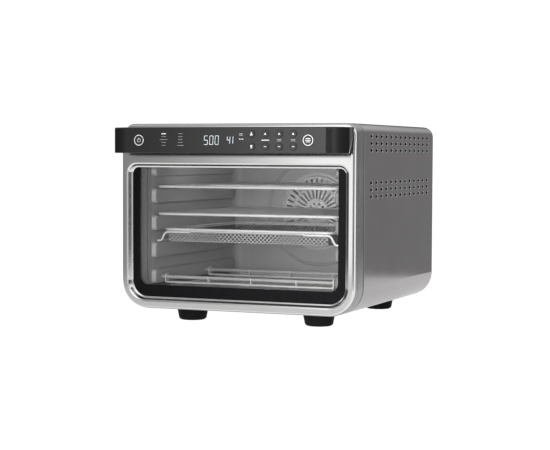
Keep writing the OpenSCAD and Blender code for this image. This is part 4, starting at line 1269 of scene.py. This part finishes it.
FEET = ["foot_front_left", "foot_front_right", "foot_rear_left", "foot_rear_right"]
SCREW_Z = 14
PANEL_SCREWS = ((-204, 110), (204, 110), (-204, 250), (204, 250), (-130, 331), (130, 331), (0, 331))


def make_feet():
    """Round feet: a neck, a tapered side, a rounded edge, a ring to stand on and the screw's recess."""
    for node in FEET:
        box = extent(node)
        cx, cy, _ = middle(box)
        top_r = (box.x1 - box.x0) / 2
        z1 = box.z1
        profile = [(2.6, z1), (top_r, z1), (top_r, z1 - 4.2), (top_r - 0.5, z1 - 5.2)]
        profile += [(24.6 + 2.9 * t, 6.6 + (z1 - 11.8) * t) for t in (1, 0.5, 0)]
        profile += [(18.5 + 6 * math.cos(a), 6 - 6 * math.sin(a))
                    for a in in_radians((8, 25, 42, 58, 74, 90))]
        profile += [(17, 0), (16.2, 0.5), (13, 0.5), (12.2, 0), (6.6, 0), (6, 0.6), (6, SCREW_Z),
                    (2.6, SCREW_Z), (2.6, z1)]
        built = Builder()
        built.lathe(profile, "z", (cx, cy, 0), 64)
        piece(node + "_moulded", built, foot_rubber, BODY, [node], sharp=50)


def screw_head(built, x, y, z, axis, way, radius=3.7, height=1.9):
    """A pan head with a cross recess, its face pointing along way on the axis."""
    rings = round_rings(0, 0, 24, [(radius * wide, height * up) for wide, up in (
        (1, 0), (1, 0.35), (0.86, 0.75), (0.6, 1))])
    cross = []
    arm = radius * 0.48
    half = radius * 0.14
    for quarter in range(4):
        a = math.pi / 2 * quarter
        for u, v in ((arm, -half), (arm, half), (half, half)):
            cross.append((u * math.cos(a) - v * math.sin(a), u * math.sin(a) + v * math.cos(a)))
    part = Builder()
    made = [part.row([(u, v, h) for u, v in outline]) for outline, h in rings]
    for a, b in zip(made, made[1:]):
        part.strip(a, b, closed=True)
    top = part.row([(u, v, height) for u, v in cross])
    floor = part.row([(u * 0.8, v * 0.8, height * 0.3) for u, v in cross])
    part.fill([made[-1], top])
    part.strip(top, floor, closed=True)
    part.bm.faces.new(floor)
    part.bm.faces.new(made[0])
    built.take(part, lambda u, v, h: place_on_axis(u, v, way * h, axis, (x, y, z)))


def make_screws():
    cover = extent("motor_cover")
    built = Builder()
    back = extent("rear_panel").y1
    for x, z in PANEL_SCREWS:
        screw_head(built, x, back, z, "y", 1)
        built.lathe([(0, back - 8), (1.6, back - 7), (1.9, back - 6.4), (1.9, back), (0, back)],
                    "y", (x, 0, z), 16)
    for sx in (-1, 1):
        for sz in (cover.z0 + 9, cover.z1 - 9):
            screw_head(built, sx * (cover.x1 - 9), back + 1.5, sz, "y", 1)
    for node in FEET:
        x, y, _ = middle(extent(node))
        screw_head(built, x, y, SCREW_Z, "z", -1)
    piece("case_screws", built, plain_steel, BODY, ["body_screws"], sharp=40)


def slot_feature(cx, cz, width, height, press=-0.7):
    """An upright or level slot whose lips are pressed in or out."""
    long_side, short_side, turn = (height, width, 90) if height > width else (width, height, 0)
    lips = [(wider, wider, press * share) for wider, share in ((1.6, 0), (0.7, 0.4), (0, 1))]
    return pill_rings(cx, cz, long_side, short_side, lips, turn, 5), False


REAR_SLOTS_Z = (58, 258)


def make_rear_panel():
    box = extent("rear_panel")
    gx, _, gz = middle(extent("cord_gland"))
    fan_z = middle(extent("motor_cover"))[2]
    y = box.y1
    gland_hole = round_rings(gx, gz, 32, ((15, 0), (14.2, -0.4), (9.2, -0.4)))
    motor_hole = [(round_box(-hw, hw, fan_z - hw + 40, fan_z + hw - 40, 4), height)
                  for hw, height in ((100, 0), (99.5, -0.5))]
    features = [(gland_hole, False), (motor_hole, False)]
    for i in range(-7, 8):
        for z in REAR_SLOTS_Z:
            features.append(slot_feature(18 * i, z + 13, 4, 26))
    for x in (-185, 185):
        rib = [(round_box(x - hw, x + hw, 95 - hw, 285 + hw, hw - 0.1), height)
               for hw, height in ((5, 0), (3.5, -1.1))]
        features.append((rib, True))
    built = Builder()
    built.pressed(body_outline(1.2), features, lambda u, v, h: (u, y + h, v))
    built.sweep(body_outline, [(1.2, y), (0.4, y - 0.3), (0.05, y - 1), (0.05, box.y0 + 0.1)])
    piece("rear_panel_sheet", built, rear_coating, BODY, ["rear_panel"],
          thickness=0.8, facing=(0, 1, 0), sharp=60)


def make_motor_cover():
    """A drawn cover: a flange, a tapered side, a rounded edge and a face with two columns of slots."""
    box = extent("motor_cover")
    fan_z = middle(box)[2]
    flange = 12
    draft = 0.8
    edge = 6
    hw = box.x1 - flange
    hh = (box.z1 - box.z0) / 2 - flange
    y0 = box.y0
    y1 = box.y1

    def ring(grow, depth, r):
        return at_depth(panel(hw + grow, fan_z - hh - grow, fan_z + hh + grow, r, r, 10), depth)

    rows = [ring(*row) for row in (
        (flange, y0 + 0.1, 16), (flange, y0 + 0.9, 16), (flange - 0.6, y0 + 1.5, 15.6), (2.5, y0 + 1.5, 18),
        (0.8, y0 + 2.2, 17), (0, y0 + 4, 16), (-draft, y1 - edge, 16))]
    for a in in_radians((20, 40, 60, 80)):
        rows.append(ring(-draft - edge * (1 - math.cos(a)), y1 - edge + edge * math.sin(a), 16))
    built = Builder()
    built.loft(rows)
    slots = [slot_feature(62 * side, fan_z + 13 * i, 84, 4, 1.0) for i in range(-4, 5) for side in (-1, 1)]
    inset = edge + draft
    face_y = y1 - 1.05
    face = panel(hw - draft - edge, fan_z - hh + inset, fan_z + hh - inset, 16, 16, 10)
    built.pressed(face, slots, lambda u, v, h: (u, face_y + h, v))
    built.loft([at_depth(face, face_y), rows[-1]])
    piece("motor_cover_drawn", built, rear_coating, BODY, ["motor_cover"],
          thickness=1.0, facing=(0, 1, 0), sharp=45)


def make_gland():
    """The cord's bush: a ribbed neck inside the panel, a collar outside, and a bore right through."""
    box = extent("cord_gland")
    cx, _, cz = middle(box)
    y0 = box.y0
    y1 = box.y1
    bore = 4.2
    profile = [(bore, y0)] + [(radius, y0 + back) for radius, back in (
        (8.4, 0), (8.9, 0.6), (8.9, 2), (10.9, 2), (10.9, 5), (8.9, 5), (8.9, 7), (12.9, 7), (12.9, 9),
        (12.3, 9.8), (11.4, 10), (10, 10.2), (9.2, 10.6), (9.2, 11), (8.2, 11.2), (8.2, 11.6))]
    profile += [(7.6, y1), (bore + 0.7, y1), (bore, y1 - 0.7), (bore, y0)]
    built = Builder()
    built.lathe(profile, "y", (cx, 0, cz), 48)
    piece("cord_bush", built, black_plastic, BODY, ["cord_gland"], sharp=40)


# ---------------------------------------------------------------- CAD nodes that keep their shape


KEPT_NODES = [
    (plain_steel, ["base_pan", "hinge_brackets", "hinge_pins", "hinge_lugs", "temperature_sensor",
                   "motor_shaft", "fan_housing", "fan_motor"]),
    (floor_steel, ["cavity_floor"]),
    (fan_steel, ["convection_fan", "cooling_fan"]),
    (ceramic, ["terminal_insulators"]),
    (lamp_white, ["lamp_bulb"]),
    (circuit_green, ["power_board", "control_board"]),
    (wire_red, ["wiring_harness"]),
    (black_plastic, ["handle_rear_cover", "display_module"]),
]


def finish_cad_nodes():
    for material, nodes in KEPT_NODES:
        for name in nodes:
            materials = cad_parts[name].data.materials
            materials.clear()
            materials.append(material)


# ---------------------------------------------------------------- studio


def make_camera():
    place = (1.016316, -2.450962, 0.289061)
    camera = bpy.data.cameras.new("camera")
    camera.sensor_width = 36
    camera.lens = 97.372
    camera.clip_end = 50
    obj = new_object("camera", camera)
    yaw = math.radians(22.801)
    pitch = math.radians(-2.7458)
    roll = math.radians(0.2295)
    forward = Vector((-math.sin(yaw) * math.cos(pitch), math.cos(yaw) * math.cos(pitch), math.sin(pitch)))
    right = Vector((math.cos(yaw), math.sin(yaw), 0))
    up = right.cross(forward)
    right, up = (right * math.cos(roll) + up * math.sin(roll), up * math.cos(roll) - right * math.sin(roll))
    turn = Matrix((right, up, -forward)).transposed()
    obj.matrix_world = Matrix.Translation(place) @ turn.to_4x4()
    bpy.context.scene.camera = obj


def softbox(name, place, target, size, radiance):
    """A soft light of an even brightness, which neither the camera nor a reflection shows."""
    light = bpy.data.lights.new(name, "AREA")
    light.shape = "RECTANGLE"
    light.size, light.size_y = size
    light.energy = radiance * math.pi * size[0] * size[1]
    obj = new_object(name, light)
    obj.location = place
    obj.rotation_euler = (Vector(target) - Vector(place)).to_track_quat("-Z", "Y").to_euler()
    obj.visible_camera = False
    obj.visible_glossy = False


def make_world():
    """Brightness of the room by compass direction, from -180 to 180 degrees with 0 in front of the door
    and 90 to the right, and brighter overhead. The camera sees plain white."""
    world = bpy.data.worlds.new("studio")
    world.use_nodes = True
    bpy.context.scene.world = world
    tree = world.node_tree
    shown = tree.nodes["Background"]
    direction = add(tree, "ShaderNodeTexCoord").outputs["Generated"]
    split = add(tree, "ShaderNodeSeparateXYZ", {"Vector": direction})
    backward = add(tree, "ShaderNodeMath", {0: split.outputs["Y"], 1: -1}, operation="MULTIPLY").outputs[0]
    angle = add(tree, "ShaderNodeMath", {0: split.outputs["X"], 1: backward}, operation="ARCTAN2").outputs[0]
    turn = remap(tree, angle, 0, 1, -math.pi, math.pi)
    stops = [(-180, 0.06), (-100, 0.06), (-75, 0.14), (-60, 0.14), (-28, 0.4), (-14, 0.2), (14, 0.14),
             (30, 0.62), (52, 0.2), (70, 0.06), (124, 0.06), (132, 1), (146, 1), (153, 0.3), (172, 0.3),
             (180, 0.12)]
    walls = ramp(tree, turn, [((a + 180) / 360, level) for a, level in stops])
    height = ramp(tree, split.outputs["Z"], [(0.2, 0), (0.4, 1)])
    overhead = ramp(tree, split.outputs["Z"], [(0.4, 1), (0.8, 1), (0.93, 0.25), (1, 0.2)])
    colour = add(tree, "ShaderNodeMix", data_type="RGBA")
    feed(tree, colour, {"Factor": height, "A": walls, "B": overhead})
    feed(tree, shown, {"Color": colour.outputs["Result"]})
    white = add(tree, "ShaderNodeBackground", {"Color": (1, 1, 1, 1), "Strength": 1.05})
    eye = add(tree, "ShaderNodeLightPath").outputs["Is Camera Ray"]
    mix = add(tree, "ShaderNodeMixShader", {0: eye, 1: shown.outputs[0], 2: white.outputs[0]})
    tree.links.new(mix.outputs[0], tree.nodes["World Output"].inputs["Surface"])


def flat_stage(name, corners, material):
    """A studio surface that isn't part of the oven and that the camera doesn't see."""
    mesh = bpy.data.meshes.new(name)
    mesh.from_pydata(corners, [], [range(len(corners))])
    mesh.materials.append(material)
    obj = new_object(name, mesh)
    obj.visible_camera = False


def glow_across(name, x0, x1, stops):
    """A lit screen whose brightness changes along X, from x0 to x1."""
    material, tree, _, place = new_material(name)
    split = add(tree, "ShaderNodeSeparateXYZ", {"Vector": place})
    share = remap(tree, split.outputs["X"], 0, 1, x0, x1)
    light = add(tree, "ShaderNodeEmission", {"Color": ramp(tree, share, stops), "Strength": 1.5})
    show_instead(tree, light)
    return material


def make_studio():
    paper = surface("floor_paper", (0.25, 0.25, 0.25), 0.7, 0, (300, 300, 300), 0.005, 0.01,
                    fixed={"Emission Color": (1, 1, 1, 1), "Emission Strength": 0.6,
                           "Specular IOR Level": 0})
    floor_r = 1.0
    edge = [2 * math.pi * i / 96 for i in range(96)]
    flat_stage("floor", [(floor_r * math.cos(a), floor_r * math.sin(a), 0) for a in edge], paper)
    x0 = -1.5
    x1 = 0.03
    y = -1.0
    glow = glow_across("screen_glow", x0, x1,
                       [(0, 0.1), (0.45, 0.15), (0.64, 0.28), (0.76, 0.52), (0.87, 0.95), (1, 1)])
    flat_stage("front_screen", [(x, y, z) for x, z in rectangle(x0, x1, 0.02, 1.3)], glow)
    make_world()
    softbox("top_softbox", (0.2, -0.3, 2.2), (0, 0, 0.2), (2.6, 2.6), 1.0)
    softbox("front_softbox", (0.1, -2.5, 0.3), (0, 0, 0.17), (1.6, 0.8), 42)
    lamp = to_row((40, 70, extent("lamp_lens").z0 - 16))
    softbox("cavity_light", lamp, to_row((40, BACK_Y, 250)), (0.24, 0.06), 8.4)
    view = bpy.context.scene.view_settings
    view.view_transform = "Standard"
    view.look = "None"


make_camera()
make_door_frame()
make_glass()
make_inner_frame()
make_handle()
make_buttons()
make_panel_marks()
make_wrap()
make_bezel()
make_gasket()
make_side_walls()
make_cavity_top()
make_back_wall()
make_guard()
make_rack("upper_rack")
make_rack("lower_rack")
make_basket()
make_tray()
make_elements()
make_supports()
make_lamp()
make_feet()
make_screws()
make_rear_panel()
make_motor_cover()
make_gland()
finish_cad_nodes()
make_studio()
